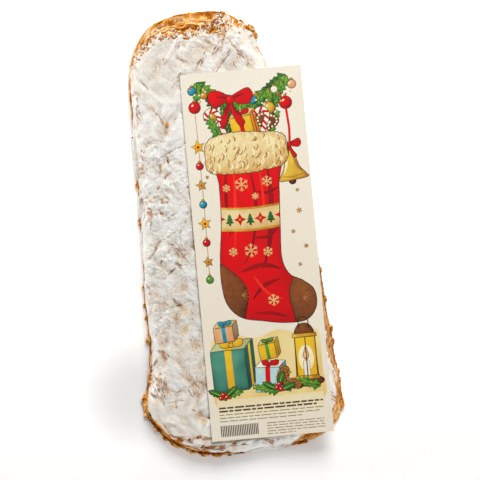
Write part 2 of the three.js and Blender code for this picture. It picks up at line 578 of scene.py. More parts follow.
THIN_SPOTS = rows(
    Spot,
    (-30, 81, 4.5, 0.5), (-38, 32, 5, 0.6), (-32, 103, 4, 0.4), (-34, -40, 5, 0.7),
    (-43, -44, 5, 0.6), (-47, -22, 4, 0.5), (-42, -65, 7, 0.8), (-50, -53, 5, 0.8),
    (-29, -62, 3, 0.6), (-33, -88, 6, 0.5), (-47, -97, 5, 0.6), (-56, -78, 6, 0.4),
    (-29, -106, 4, 0.6), (-40, -111, 4, 0.8), (-34, -118, 7, 0.6), (-50, -108, 7, 0.5),
    (-57, -120, 6, 0.6), (-35, -139, 4, 0.8), (-66, -90, 4, 0.5), (-53, -68, 3, 0.4),
)
TINTED_SPOTS = rows(
    Spot,
    (-37, -73, 3, 1.0), (-45, -60, 3, 0.7), (-36, -59, 4, 0.8), (-40, -78, 2, 0.9),
    (-42, -82, 1.5, 0.8), (-38, -85, 1.5, 0.9), (-55, -97, 2, 0.7), (-55, -43, 1.7, 1.1),
    (-66, -127, 2.5, 0.8), (-55, -131, 2.2, 1.0), (-68, -141, 2, 0.7), (-59, -144, 2, 0.8),
    (-32, -146, 4, 0.7), (-41, 31, 3, 0.6), (-40, 104, 3, 0.8), (-50, 31, 2, 1.0),
    (-11, 141, 1.2, 1.0), (14, 156, 5, 0.5), (-47, 116, 6, 0.3), (-34, 126, 7, 0.35),
    (-33, -90, 12, 0.25), (6, 153, 6, 0.4),
)
CLUMPED_SPOTS = rows(
    Spot,
    (-44, 24, 13, 1.0), (-54, 37, 7, 1.0), (-36, 60, 7, 0.9), (-43, 68, 8, 0.7), (-45, -16, 6, 0.8),
    (-52, -60, 7, 0.7), (-24, -143, 6, 1.0), (20, 158, 14, 1.0), (-57, -24, 6, 0.7),
    (-30, -4, 8, 0.5), (-24, 45, 9, 0.5), (-50, 55, 8, 0.5),
)
LUMPS = rows(
    Lump,
    (23, 163, 4.2, 1.8), (18, 161, 2.6, 1.2), (27, 160, 2.4, 1.0), (32, 154, 2.8, 1.2),
    (9, 160, 2.4, 1.0), (-1, 163, 1.8, 0.8), (27, 141, 1.5, 1.0), (36, 138, 1.7, 0.7),
    (-54, 35, 2.2, 0.9), (-45, 25, 1.6, 0.7), (-41, 24, 1.9, 0.8), (-37, 22, 2.2, 0.8),
    (-50, 31, 1.6, 0.7), (-37, 15, 1.3, 0.6), (-48, -15, 1.4, 0.7), (-47, 80, 2.4, 0.6),
    (-44, 27, 1.2, 0.6), (-40, 19, 1.4, 0.5), (-24, -146, 2.4, 0.8), (-21, -143, 1.6, 0.7),
)


def turned(places: Points, x: float, y: float, heading: float) -> Points:
    """Places seen along and across a heading from a centre.

    Args:
        places: points in the loaf's own frame.
        x: where the new origin is.
        y: where the new origin is.
        heading: degrees from +X.

    Returns:
        Two columns: the way along the heading, and the way across it.
    """
    angle = math.radians(heading)
    offset = places[:, :2] - np.array((x, y))
    along = offset @ np.array([math.cos(angle), math.sin(angle)])
    across = offset @ np.array([-math.sin(angle), math.cos(angle)])
    return np.column_stack([along, across])


def signed_gap(places: Points, path: Path) -> Values:
    """The distance in plan from each place to a path of straight stretches, positive on its left.

    Args:
        places: points in the loaf's own frame.
        path: the path's corners.

    Returns:
        One distance for each place.
    """
    best = np.full(len(places), np.inf)
    side = np.ones(len(places))
    for start, end in zip(np.array(path[:-1], float), np.array(path[1:], float)):
        run, offset = end - start, places[:, :2] - start
        share = np.clip(offset @ run / (run @ run), 0, 1)
        gap = np.linalg.norm(offset - share[:, None] * run, axis=1)
        nearer = gap < best
        best[nearer] = gap[nearer]
        side[nearer] = np.sign(run[0] * offset[nearer, 1] - run[1] * offset[nearer, 0])
    return best * side


def spotted(places: Points, spots: tuple[Spot, ...]) -> Values:
    """How strongly soft spots cover each place.

    Args:
        places: points in the loaf's own frame.
        spots: the spots.

    Returns:
        The strongest spot's share at each place.
    """
    total = np.zeros(len(places))
    for spot in spots:
        gap = np.hypot(places[:, 0] - spot.x, places[:, 1] - spot.y) / spot.radius
        total = np.maximum(total, spot.strength * np.exp(-(gap**2)))
    return total


@dataclass
class Surface:
    """What the dough and the glaze do at each vertex of a body."""

    dough: Values
    glaze: Values
    film: Values
    worn: Values
    grain: Points
    seam: Values
    seamed: Values
    warm: Values
    tinted: Values
    hollow: Values
    strata: Values
    pitted: Values
    rugged: Values


@dataclass
class BakedSurface:
    """The dough's relief and the glaze's thickness over it, in millimetres."""

    perimeter: float = 887.0
    fold_size: float = 9.5
    fold_stretch: float = 2.1
    fold_headings: tuple[float, float] = (57.0, -50.0)
    fold_depth: float = 1.95
    roll_size: float = 38.0
    roll_depth: float = 0.3
    ripple_size: float = 4.3
    ripple_depth: float = 0.75
    wrinkle_size: float = 1.9
    wrinkle_depth: float = 0.3
    crease_size: float = 13.0
    crease_strength: float = 0.25
    crease_depth: float = 0.5
    crack_half_width: float = 0.8
    plate_rise: float = 0.3
    plate_reach: float = 4.0
    strata_size: float = 2.3
    strata_depth: float = 0.5
    tuck_depth: float = 0.5
    rim_lump_size: float = 6.0
    rim_lump_depth: float = 1.5
    clump_depth: float = 2.4
    glaze_depth: float = 0.5
    edge_run: float = 1.1
    edge_bead: float = 0.16
    bead_inset: float = 1.9
    bead_width: float = 1.3
    middle_film: float = 0.66
    edge_film: float = 0.4
    seed: int = 41
    spare_patches: int = 60

    def __post_init__(self) -> None:
        """Draws the noise and the worn patches where no listed ones are."""
        self.noise = Noise(self.seed)
        self.fine = Noise(self.seed + 1)
        draw = np.random.default_rng(self.seed + 2)
        self.patches = list(WORN_PATCHES)
        for _ in range(self.spare_patches):
            x, y = draw.uniform(-25, 72), draw.uniform(-165, 150)
            heading = draw.choice([40, 58, 95, 122, 135]) + draw.uniform(-8, 8)
            size, strength = draw.uniform(5, 11), draw.uniform(0.5, 0.95)
            width = size * draw.uniform(0.2, 0.5)
            self.patches.append(WornPatch(x, y, heading, size, width, strength))

    def read(self, places: Points, sense: EdgeSense) -> Surface:
        """Works out every field at the given places.

        Args:
            places: the plain body's vertices.
            sense: where they stand against the edge.

        Returns:
            The fields, one row for each place.
        """
        x, y, z = places.T
        fold, ripple, crease, some = self._folds(places)
        worn, grain, wrinkle = self._wear(places)
        seam, seamed, warm = self._cracks(places, crease, some)
        dent = seamed * np.exp(-((seam / self.crack_half_width) ** 2))
        plate = seamed * np.tanh(seam / self.crack_half_width)
        plate *= np.exp(-((seam / self.plate_reach) ** 2))
        strata, tucks, crevice = self._rim_relief(places, sense)
        on_top = smoothstep(4.0, 14.0, z)
        ripple *= 0.3 + 0.7 * smoothstep(-0.1, 0.4, self.fine.at(places + 150.0, 21.0))
        rolls = self.noise.layered(places, self.roll_size, 2)
        top = self.roll_depth * rolls + self.fold_depth * fold + self.ripple_depth * ripple
        top += self.wrinkle_depth * wrinkle - self.crease_depth * dent + self.plate_rise * plate
        rough = self._roughness(places)
        side = self.strata_depth * strata - self.tuck_depth * tucks
        side += rough * self.rim_lump_depth * (0.45 - crevice)
        calm = 1 + 0.1 * smoothstep(20, 80, y) - 0.25 * smoothstep(100, 130, y)
        bare_head = smoothstep(20, 9, sense.inset) * smoothstep(115, 150, y)
        top *= calm * (1 - 0.75 * bare_head)
        dough = top * (0.25 + 0.75 * on_top) + side * (1 - 0.85 * on_top * (1 - bare_head))
        margin = self._margin(places, sense)
        held = np.clip(margin / self.edge_run, -1.5, 1.0)
        bead = np.exp(-(((margin - self.bead_inset) / self.bead_width) ** 2))
        level = self.glaze_depth * held + self.edge_bead * bead + 0.1 * self.fine.at(places, 3.1)
        level -= 0.7 * side * (1 - on_top) * (held > 0.5)
        kept = np.maximum(level - 0.25 * worn, 0.06 * held)
        glaze = np.where(held > 0, kept, level) + self._lumps(places) - 0.25 * dent
        clumped = spotted(places, CLUMPED_SPOTS) * smoothstep(100, 60, y)
        # Darker in the relief's hollows: partly thinner glaze, partly painted shade.
        film = 0.27 * fold + 0.4 * ripple + 0.1 * self.noise.layered(places + 77.0, 9.0, 3)
        # A little darker towards the head and towards the foot, and lighter at the foot's lower
        # middle.
        film = self.middle_film - 0.03 * smoothstep(20, 100, y) + calm * film
        film -= 0.035 * smoothstep(-20, -70, y)
        film -= 0.25 * dent + 0.12 * worn + 0.34 * spotted(places, THIN_SPOTS)
        film -= 0.06 * smoothstep(105, 135, y)
        film += 0.15 * clumped + 0.16 * smoothstep(-146, -160, y) * smoothstep(-20, 5, x)
        edge_film = self.edge_film + 0.2 * smoothstep(112, 145, y)
        film = np.minimum(film, 0.9 * np.clip(margin / 2.0, 0, 1) + edge_film)
        # Painted shade in the crevices between the rim's lumps and in the tucks, less on the
        # strata's ridges.
        hollow = np.clip(1.2 * crevice * rough - 0.45 * strata + 0.8 * tucks, 0, 1)
        pitted = smoothstep(9.0, 1.0, margin) * smoothstep(112, 150, y)
        pitted *= 1 - 0.55 * smoothstep(24, 36, x)
        rugged = 0.8 + 0.65 * smoothstep(125, 10, y) + 0.5 * clumped
        rugged += 0.3 * smoothstep(20, -30, y) - 0.5 * smoothstep(-65, -90, y)
        rugged -= 0.6 * smoothstep(-105, -130, y)
        return Surface(
            dough=dough, glaze=glaze, film=np.clip(film, 0, 1), worn=worn, grain=grain,
            seam=seam, seamed=seamed, warm=warm, tinted=spotted(places, TINTED_SPOTS),
            hollow=hollow, strata=strata, pitted=pitted, rugged=rugged)

    @staticmethod
    def _roughness(places: Points) -> Values:
        """How strong the rim's lumps are: full at the thin foot, weak at the head and on the left.

        Args:
            places: the plain body's vertices.

        Returns:
            A share for each place.
        """
        x, y, z = places.T
        foot = 1 - smoothstep(3.4, 5.0, z)
        rough = (0.35 + 0.65 * foot) * (1 - 0.8 * smoothstep(90, 150, y))
        rough *= 1 - 0.6 * smoothstep(40, 60, x)
        rough *= 1 - 0.75 * smoothstep(-40, -55, x) * smoothstep(-130, -105, y)
        rough *= 1 - 0.75 * smoothstep(0, -30, x) * smoothstep(-105, -130, y)
        return rough

    def _folds(self, places: Points) -> tuple[Values, Values, Values, Values]:
        """Diagonal folds that cross, with wrinkles along them and creases.

        Args:
            places: the plain body's vertices.

        Returns:
            The folds, the wrinkles, the way to the nearest crease, and where creases are.
        """
        bent = self.noise.warped(places, 19.0, 4.0)
        rolls, wrinkles = [], []
        for heading in self.fold_headings:
            local = turned(bent, 0.0, 0.0, heading) * np.array([1 / self.fold_stretch, 1.0])
            drawn = np.column_stack([local, places[:, 2]])
            rolls.append(np.tanh(2.2 * self.noise.layered(drawn, self.fold_size, 2)) / 2.2)
            pillows = 1.7 * np.abs(self.fine.at(drawn + 55.0, 1.3 * self.ripple_size)) - 0.4
            small = self.fine.layered(drawn + 99.0, 0.8 * self.ripple_size, 2)
            wrinkles.append(0.75 * pillows + 0.5 * small)
        steep = smoothstep(-0.2, 0.2, self.fine.at(places, 31.0))
        fold, ripple = (steep * one + (1 - steep) * other for one, other in (rolls, wrinkles))
        crease = 0.6 * self.crease_size * self.fine.at(bent, self.crease_size)
        some = smoothstep(-0.1, 0.35, self.fine.at(places + 333.0, 22.0))
        return fold, ripple, crease, some

    def _rim_relief(self, places: Points, sense: EdgeSense) -> tuple[Values, Values, Values]:
        """The side's relief, drawn on the side as if it were unrolled.

        Args:
            places: the plain body's vertices.
            sense: where they stand against the edge.

        Returns:
            Strata along the side, long tucks in it, and the crevices between the rim's lumps.
        """
        angle = 2 * np.pi * sense.turn
        radius = self.perimeter / (2 * np.pi)
        climb = 0.5 * places[:, 2] + np.minimum(sense.inset, 26.0)
        unrolled = np.column_stack([radius * np.cos(angle), radius * np.sin(angle), climb])
        layered = self.fine.warped(unrolled, 9.0, 1.2) * np.array([0.13, 0.13, 1.0])
        leaves = self.fine.at(layered + 40.0, 0.62 * self.strata_size)
        strata = 0.65 * self.fine.at(layered, self.strata_size)
        strata = strata + 0.6 * (0.45 - 2.2 * np.abs(leaves))
        lumps = self.noise.layered(unrolled * np.array([1.0, 1.0, 1.5]), self.rim_lump_size, 2)
        bent = self.noise.warped(unrolled, 14.0, 2.5) * np.array([0.2, 0.2, 1.0])
        tucks = np.exp(-((self.fine.layered(bent, 5.5, 2) / 0.11) ** 2))
        return strata, tucks, np.clip(1 - 2.3 * np.abs(lumps), 0, 1)

    def _lumps(self, places: Points) -> Values:
        """How much the dried lumps add to the glaze.

        Args:
            places: the plain body's vertices.

        Returns:
            A height for each place.
        """
        added = np.zeros(len(places))
        for lump in LUMPS:
            gap = np.hypot(places[:, 0] - lump.x, places[:, 1] - lump.y) / lump.radius
            added += lump.height * np.exp(-(gap**4))
        coarse = np.clip(self.fine.at(places + 17.0, 2.4), -0.25, 1)
        clumped = spotted(places, CLUMPED_SPOTS) * coarse
        uneven = np.clip(1 + 0.7 * self.fine.at(places, 2.3), 0.2, 2.0)
        return added * uneven + self.clump_depth * clumped

    def _wear(self, places: Points) -> tuple[Values, Points, Values]:
        """Reads the worn patches, of which the strongest one counts.

        Args:
            places: the plain body's vertices.

        Returns:
            Their strength, the way of their wrinkles, and the wrinkles' own relief.
        """
        worn = np.zeros(len(places))
        grain = places.copy()
        ragged = 1 + 0.5 * self.fine.at(places, 4.0)
        for number, patch in enumerate(self.patches):
            along, across = turned(places, patch.x, patch.y, patch.heading).T
            spread = (along / patch.length) ** 2 + (across / patch.width) ** 2
            here = patch.strength * np.exp(-0.65 * spread) * ragged
            stronger = here > worn
            worn = np.where(stronger, here, worn)
            apart = np.full(len(places), 37.0 * number)
            drawn = np.column_stack([along * patch.stretch, across, apart])
            grain[stronger] = drawn[stronger]
        worn = np.clip(worn, 0, 1)
        return worn, grain, self.fine.at(grain, self.wrinkle_size) * worn

    def _cracks(self, places: Points, crease: Values,
                some: Values) -> tuple[Values, Values, Values]:
        """Reads the glaze's cracks and creases.

        Args:
            places: the plain body's vertices.
            crease: how far each is from a crease.
            some: where creases are.

        Returns:
            How far each place is from a crack or crease, how strong that is, and how warm it looks.
        """
        jagged = self.fine.warped(self.noise.warped(places, 6.0, 1.6), 2.4, 0.9)
        near = 1.5 * self.crack_half_width
        seam = crease.copy()
        seamed = self.crease_strength * some * np.exp(-((crease / near) ** 2))
        warm = np.full(len(places), 0.2)
        for crack in CRACKS:
            gap = signed_gap(jagged, crack.points) * (0.7 / crack.width)
            strength = crack.depth * np.exp(-((gap / near) ** 2))
            stronger = strength > seamed
            seam[stronger] = gap[stronger]
            seamed[stronger] = strength[stronger]
            warm[stronger] = crack.warmth
        return seam, seamed, warm

    def _margin(self, places: Points, sense: EdgeSense) -> Values:
        """How far each place lies inside the glaze's ragged edge.

        Args:
            places: the plain body's vertices.
            sense: where they stand against the loaf's edge.

        Returns:
            One distance for each place, below zero where it is bare.
        """
        x, y, _ = places.T
        pull = np.zeros(len(places))
        total = np.zeros(len(places))
        for spot in RIM_SPOTS:
            weight = 1 / (np.hypot(x - spot.x, y - spot.y) + 3.0) ** 4
            pull += weight * spot.bare
            total += weight
        bare = pull / total
        at_head = smoothstep(120, 160, y)
        calm = 0.7 * smoothstep(150, 125, y) * smoothstep(30, -20, x)
        reach = (0.5 + 0.22 * np.clip(bare, 0, 12)) * (1 + 0.5 * at_head - calm)
        ragged = self.noise.layered(places, 7.0, 3)
        ragged += (0.7 + 0.5 * at_head) * self.fine.at(places, 2.6)
        margin = sense.inset - bare + reach * ragged
        torn = smoothstep(-0.3, 0.3, self.fine.layered(places + 91.0, 4.5, 2))
        for hollow in HOLLOWS:
            near = np.exp(-((signed_gap(places, hollow.points) / hollow.width) ** 2))
            margin = margin * (1 - near * torn) - hollow.depth * near * (torn - 0.35)
        lost = self.noise.layered(places + 211.0, 9.0, 3)
        islands = smoothstep(24.0, 8.0, sense.inset) * at_head
        return margin - 12.0 * islands * smoothstep(0.3, 0.8, lost)


# --- finishes ---


class Finish:
    """A material with its own node tree."""

    finer = 0.55  # how much each finer layer of its noises counts

    def __init__(self, name: str, **look: object) -> None:
        """Makes the material and finds its shader.

        Args:
            name: what the surface is made of.
            look: the shader's own numbers and colours, as in wire.
        """
        self.material = bpy.data.materials.new(name)
        self.material.use_nodes = True
        self.tree = self.material.node_tree
        self.shader = next(n for n in self.tree.nodes if n.type == "BSDF_PRINCIPLED")
        self.wire(self.shader, **look)

    def node(self, kind: str, *sources: object, out: str | None = None,
             **settings: object) -> bpy.types.NodeSocket:
        """Adds a node with its settings and links.

        Args:
            kind: the node's type, without the shared first word.
            sources: what its inputs take, in order.
            out: the output's name, or nothing for the first one in use.
            settings: its own properties, and inputs by name, as in wire.

        Returns:
            The output's socket.
        """
        made = self.tree.nodes.new(f"ShaderNode{kind}")
        self.wire(made, *sources, **settings)
        return made.outputs[out] if out else next(s for s in made.outputs if s.enabled)

    def wire(self, node: bpy.types.Node, *sources: object, **settings: object) -> None:
        """Sets a node up: each input takes a number, an sRGB hex colour, a vector or a socket.

        Args:
            node: the node.
            sources: what its inputs take, in order.
            settings: its properties, a ramp's stops, and what inputs take by name, with an
                underscore for each space.
        """
        named = {}
        for name, value in settings.items():
            if name.replace("_", " ") in node.inputs:
                named[node.inputs[name.replace("_", " ")]] = value
            elif name == "stops":
                bands = node.color_ramp.elements
                while len(bands) < len(value):
                    bands.new(0.5)
                for band, (place, colour) in zip(bands, value):
                    band.position, band.color = place, linear(colour)
            else:
                setattr(node, name, value)
        ordered = zip((s for s in node.inputs if s.enabled), sources)
        for socket, source in (*ordered, *named.items()):
            if isinstance(source, bpy.types.NodeSocket):
                self.tree.links.new(source, socket)
            else:
                socket.default_value = linear(source) if isinstance(source, str) else source


class BakedCrust(Finish):
    """Honey dough crust, baked and lightly glossy: gold-brown, with painted shade in its hollows.
    """

    # Sugar that darkened in the oven keeps a dull sheen, and torn dough beside it is matt.
    blotch = 7.0 * MM  # the oven's uneven browning
    grain = 1.5 * MM  # flour and ground spice, drawn coarser than they are so that they show
    crumb = 1.1 * MM  # the dough's own crumb
    pore = 1.7 * MM  # holes that the steam left

    def __init__(self) -> None:
        """Builds the crust's colours and its fine pores."""
        super().__init__("baked_honey_crust", Specular_IOR_Level=0.04)
        strata, pale, toast, hollow = (
            self.node("Attribute", attribute_name=name, out="Fac")
            for name in ("strata", "pale", "toast", "hollow"))
        place = self.node("TexCoord", out="Object")
        blotches = self.node("TexNoise", place, 1 / self.blotch, 4.0, self.finer)
        grain = self.node("TexNoise", place, 1 / self.grain, 3.0, self.finer)
        crumbs = self.node("TexNoise", place, 1 / self.crumb, 2.0, self.finer)
        broad = self.node("Math", blotches, 0.2, operation="MULTIPLY")
        crumbly = self.node("Math", crumbs, 0.35, broad, operation="MULTIPLY_ADD")
        layered = self.node("Math", strata, 0.5, crumbly, operation="MULTIPLY_ADD")
        colour = self.node("ValToRGB", layered, stops=[
            (0.38, "#8A4002"), (0.46, "#BA6606"), (0.53, "#D88A22"), (0.61, "#EAB05E"),
            (0.7, "#F6DAAC")])
        # Painted light on the lit sides, painted shade near the floor and painted shade in the
        # hollows, over the baked colours.
        for share, tone in ((pale, "#F7CC8C"), (toast, "#8A4208"), (hollow, "#7E3A04")):
            colour = self.node("Mix", share, colour, tone, data_type="RGBA")
        speckled = self.node("ValToRGB", grain, stops=[(0.32, "#A06428"), (0.46, "#FFFFFF")])
        pores = self.node("TexVoronoi", place, 1 / self.pore)
        relief = self.node("Bump", Height=grain, Distance=0.9 * MM)
        self.wire(
            self.shader,
            Base_Color=self.node(
                "Mix", 0.25, colour, speckled, data_type="RGBA", blend_type="MULTIPLY"),
            Roughness=self.node("Math", blotches, 0.3, 0.3, operation="MULTIPLY_ADD"),
            Normal=self.node("Bump", Height=pores, Distance=0.2 * MM, Normal=relief))


class SugarGlaze(Finish):
    """Brushed sugar glaze, dried dull white, warm and thin where wrinkles show through."""

    # Syrup that was brushed on hot dries to a dull white film, and light sinks into it a little.
    mottle = 2.2 * MM  # where the brush left more or less
    stipple = 1.0 * MM  # sugar grains, drawn coarser than they are so that they show
    blot = 5.0 * MM  # how far honey soaked through from below
    hole = 1.8 * MM  # bubbles that burst
    cloud = 1.6 * MM  # the ragged edge of a yellow stain
    streak = 1.25  # millimetres between wrinkles, on coordinates that are stretched along them
    sway = 1.5 * MM  # how a hair crack wavers
    stretch = 1.6 * MM  # how long a crack runs on before it breaks off
    speck = 2.4 * MM  # honey specks and the gaps between them

    def __init__(self) -> None:
        """Builds the film's colours from its thickness and the worn patches' grain."""
        super().__init__(
            "dried_sugar_glaze", Specular_IOR_Level=0.35, Subsurface_Weight=0.05,
            Subsurface_Scale=0.8 * MM)
        thickness, rugged, pitted, tinted, warm = (
            self.node("Attribute", attribute_name=name, out="Fac")
            for name in ("film", "rugged", "pitted", "tinted", "warm"))
        place = self.node("TexCoord", out="Object")
        mottle = self.node("TexNoise", place, 1 / self.mottle, 3.0, self.finer)
        stipple = self.node("TexNoise", place, 1 / self.stipple, 2.0, self.finer)
        mottled = self.node("Math", mottle, 0.36, -0.38, operation="MULTIPLY_ADD")
        uneven = self.node("Math", stipple, 0.4, mottled, operation="MULTIPLY_ADD")
        film = self.node("Math", uneven, rugged, thickness, operation="MULTIPLY_ADD")
        white = self.node("ValToRGB", film, stops=[
            (0.0, "#A87040"), (0.15, "#C0966C"), (0.3, "#D3BBA0"), (0.44, "#E1D5C7"),
            (0.6, "#EBE6DD"), (0.82, "#F5F4F0")])
        blots = self.node("TexNoise", place, 1 / self.blot, 1.0, self.finer)
        stained = self.node("ValToRGB", blots, stops=[(0.42, "#8C4C1E"), (0.6, "#B88254")])
        holes = self.node("TexNoise", place, 1 / self.hole, 1.0, self.finer)
        pits = self.node("Math", pitted, 0.34, holes, operation="MULTIPLY_ADD")
        clouds = self.node("TexNoise", place, 1 / self.cloud, 2.0, self.finer)
        tint = self.node("Math", tinted, 0.4, clouds, operation="MULTIPLY_ADD")
        seam = self._seam(place)
        dough = self.node("Mix", warm, "#84603E", "#CC8430", data_type="RGBA")
        colour = white
        for share, tone in (
                (self._streaks(), stained),
                (self.node("MapRange", pits, 0.75, 0.81), "#E4BC84"),
                (self.node("MapRange", pits, 0.81, 0.86), "#8A4A0C"),
                (self.node("MapRange", tint, 0.66, 0.86, To_Max=0.8), "#F0C468"),
                (self.node("Math", seam, 0.65, operation="MULTIPLY"), dough),
                (self._specks(place, tinted), "#E8AC3C")):
            colour = self.node("Mix", share, colour, tone, data_type="RGBA")
        relief = None
        for height, depth, strength in (
                (stipple, 0.5, rugged), (mottle, 0.6, rugged), (seam, 0.3, -1.0)):
            scaled = self.node("Math", height, strength, operation="MULTIPLY")
            under = {"Normal": relief} if relief else {}
            relief = self.node("Bump", Height=scaled, Distance=depth * MM, **under)
        roughness = self.node("Math", mottle, 0.2, 0.36, operation="MULTIPLY_ADD")
        self.wire(self.shader, Base_Color=colour, Roughness=roughness, Normal=relief)

    def _streaks(self) -> bpy.types.NodeSocket:
        """Short near-parallel streaks in the worn patches, about half a millimetre wide.

        Returns:
            How much of a streak each spot is.
        """
        grain = self.node("Attribute", attribute_name="grain", out="Vector")
        worn = self.node("Attribute", attribute_name="worn", out="Fac")
        lines = self.node("TexNoise", grain, 1 / self.streak, 2.0, 0.6)
        marked = self.node("Math", worn, 0.35, lines, operation="MULTIPLY_ADD")
        return self.node("MapRange", marked, 0.69, 0.83, To_Max=0.88)

    def _seam(self, place: bpy.types.NodeSocket) -> bpy.types.NodeSocket:
        """Hair cracks that waver and break off, from the distance to the nearest one.

        Args:
            place: the object's coordinates.

        Returns:
            How much of a crack each spot is.
        """
        distance, strength = (
            self.node("Attribute", attribute_name=name, out="Fac") for name in ("seam", "seamed"))
        sway = self.node("TexNoise", place, 1 / self.sway, 2.0, self.finer)
        waver = self.node("Math", sway, 1.3, -0.65, operation="MULTIPLY_ADD")
        gap = self.node("Math", distance, waver, operation="ADD")
        away = self.node("Math", gap, operation="ABSOLUTE")
        near = self.node("Math", 1.0, away, operation="SUBTRACT")
        breaks = self.node("TexNoise", place, 1 / self.stretch, 1.0, self.finer)
        line = self.node("MapRange", near, 0.55, 0.85)
        for share in (self.node("MapRange", strength, 0.15, 0.5),
                      self.node("MapRange", breaks, 0.45, 0.55)):
            line = self.node("Math", line, share, operation="MULTIPLY")
        return line

    def _specks(self, place: bpy.types.NodeSocket,
                tinted: bpy.types.NodeSocket) -> bpy.types.NodeSocket:
        """Honey specks in a few cells of a fine mosaic, more of them in the tinted spots.

        Args:
            place: the object's coordinates.
            tinted: how strongly a spot is tinted.

        Returns:
            How much of a speck each spot is.
        """
        distance = self.node("TexVoronoi", place, 1 / self.speck)
        cells = distance.node.outputs["Color"]
        inside = self.node("Math", 0.4, distance, operation="SUBTRACT")
        near = self.node("MapRange", inside, 0.12, 0.24, To_Max=0.8)
        lucky = self.node(
            "Math", tinted, 0.2, self.node("SeparateColor", cells), operation="MULTIPLY_ADD")
        chosen = self.node("MapRange", lucky, 0.982, 0.992)
        return self.node("Math", near, chosen, operation="MULTIPLY")


class PrintedFace(Finish):
    """Old-style colour printing on smooth board, under a thin satin varnish."""

    # Ink laid in dots keeps its colours strong but faintly uneven, and the varnish a soft glow.
    dot = 0.7 * MM  # printing dots, drawn coarser than they are so that they show
    fibre = 1.1 * MM  # the board's fibres under the ink, drawn coarser too

    def __init__(self) -> None:
        """Reads the ink from the mesh and breaks it up with a fine stipple."""
        super().__init__("varnished_print", IOR=1.4, Specular_IOR_Level=0.3, Roughness=0.45)
        place = self.node("TexCoord", out="Object")
        ink = self.node("Attribute", attribute_name="ink", out="Color")
        dots = self.node("TexNoise", place, 1 / self.dot, 2.0, self.finer)
        stipple = self.node("ValToRGB", dots, stops=[(0.36, "#DDD5CB"), (0.56, "#FFFFFF")])
        fibres = self.node("TexNoise", place, 1 / self.fibre, 2.0, self.finer)
        self.wire(
            self.shader,
            Base_Color=self.node(
                "Mix", 0.22, ink, stipple, data_type="RGBA", blend_type="MULTIPLY"),
            Normal=self.node("Bump", Height=fibres, Distance=0.02 * MM))


class PlainBoard(Finish):
    """The card's uncoated back and cut edges."""

    # Pressed pulp with no coating: matt, cream and faintly cloudy.
    clump = 2.5 * MM  # fibres that lie closer together

    def __init__(self) -> None:
        """Builds a faintly mottled cream."""
        super().__init__("cream_board", Roughness=0.75)
        place = self.node("TexCoord", out="Object")
        fibres = self.node("TexNoise", place, 1 / self.clump, 3.0, self.finer)
        shade = self.node("ValToRGB", fibres, stops=[(0.3, "#E6DBC2"), (0.7, "#EFE6D2")])
        self.wire(self.shader, Base_Color=shade)


class HoneyCrumb(Finish):
    """Crumbs of honey dough and candied peel, deep orange."""

    # Honey keeps them a little sticky, so that each has a small wet highlight.
    fleck = 1.2 * MM  # peel in the dough

    def __init__(self) -> None:
        """Builds a warm, slightly wet orange."""
        super().__init__("honey_crumb", Roughness=0.35)
        place = self.node("TexCoord", out="Object")
        spots = self.node("TexNoise", place, 1 / self.fleck, 2.0, self.finer)
        shade = self.node("ValToRGB", spots, stops=[(0.35, "#B4690E"), (0.6, "#EAA83C")])
        self.wire(self.shader, Base_Color=shade)


# --- the bread's pieces ---


def finish_piece(piece: bpy.types.Object, material: bpy.types.Material) -> None:
    """Shades a piece smoothly, gives it its material and hangs it under the root body's empty.

    Args:
        piece: the finished mesh.
        material: what it is made of.
    """
    make_active(piece)
    bpy.ops.object.shade_smooth()
    piece.data.materials.clear()
    piece.data.materials.append(material)
    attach(piece, "root")


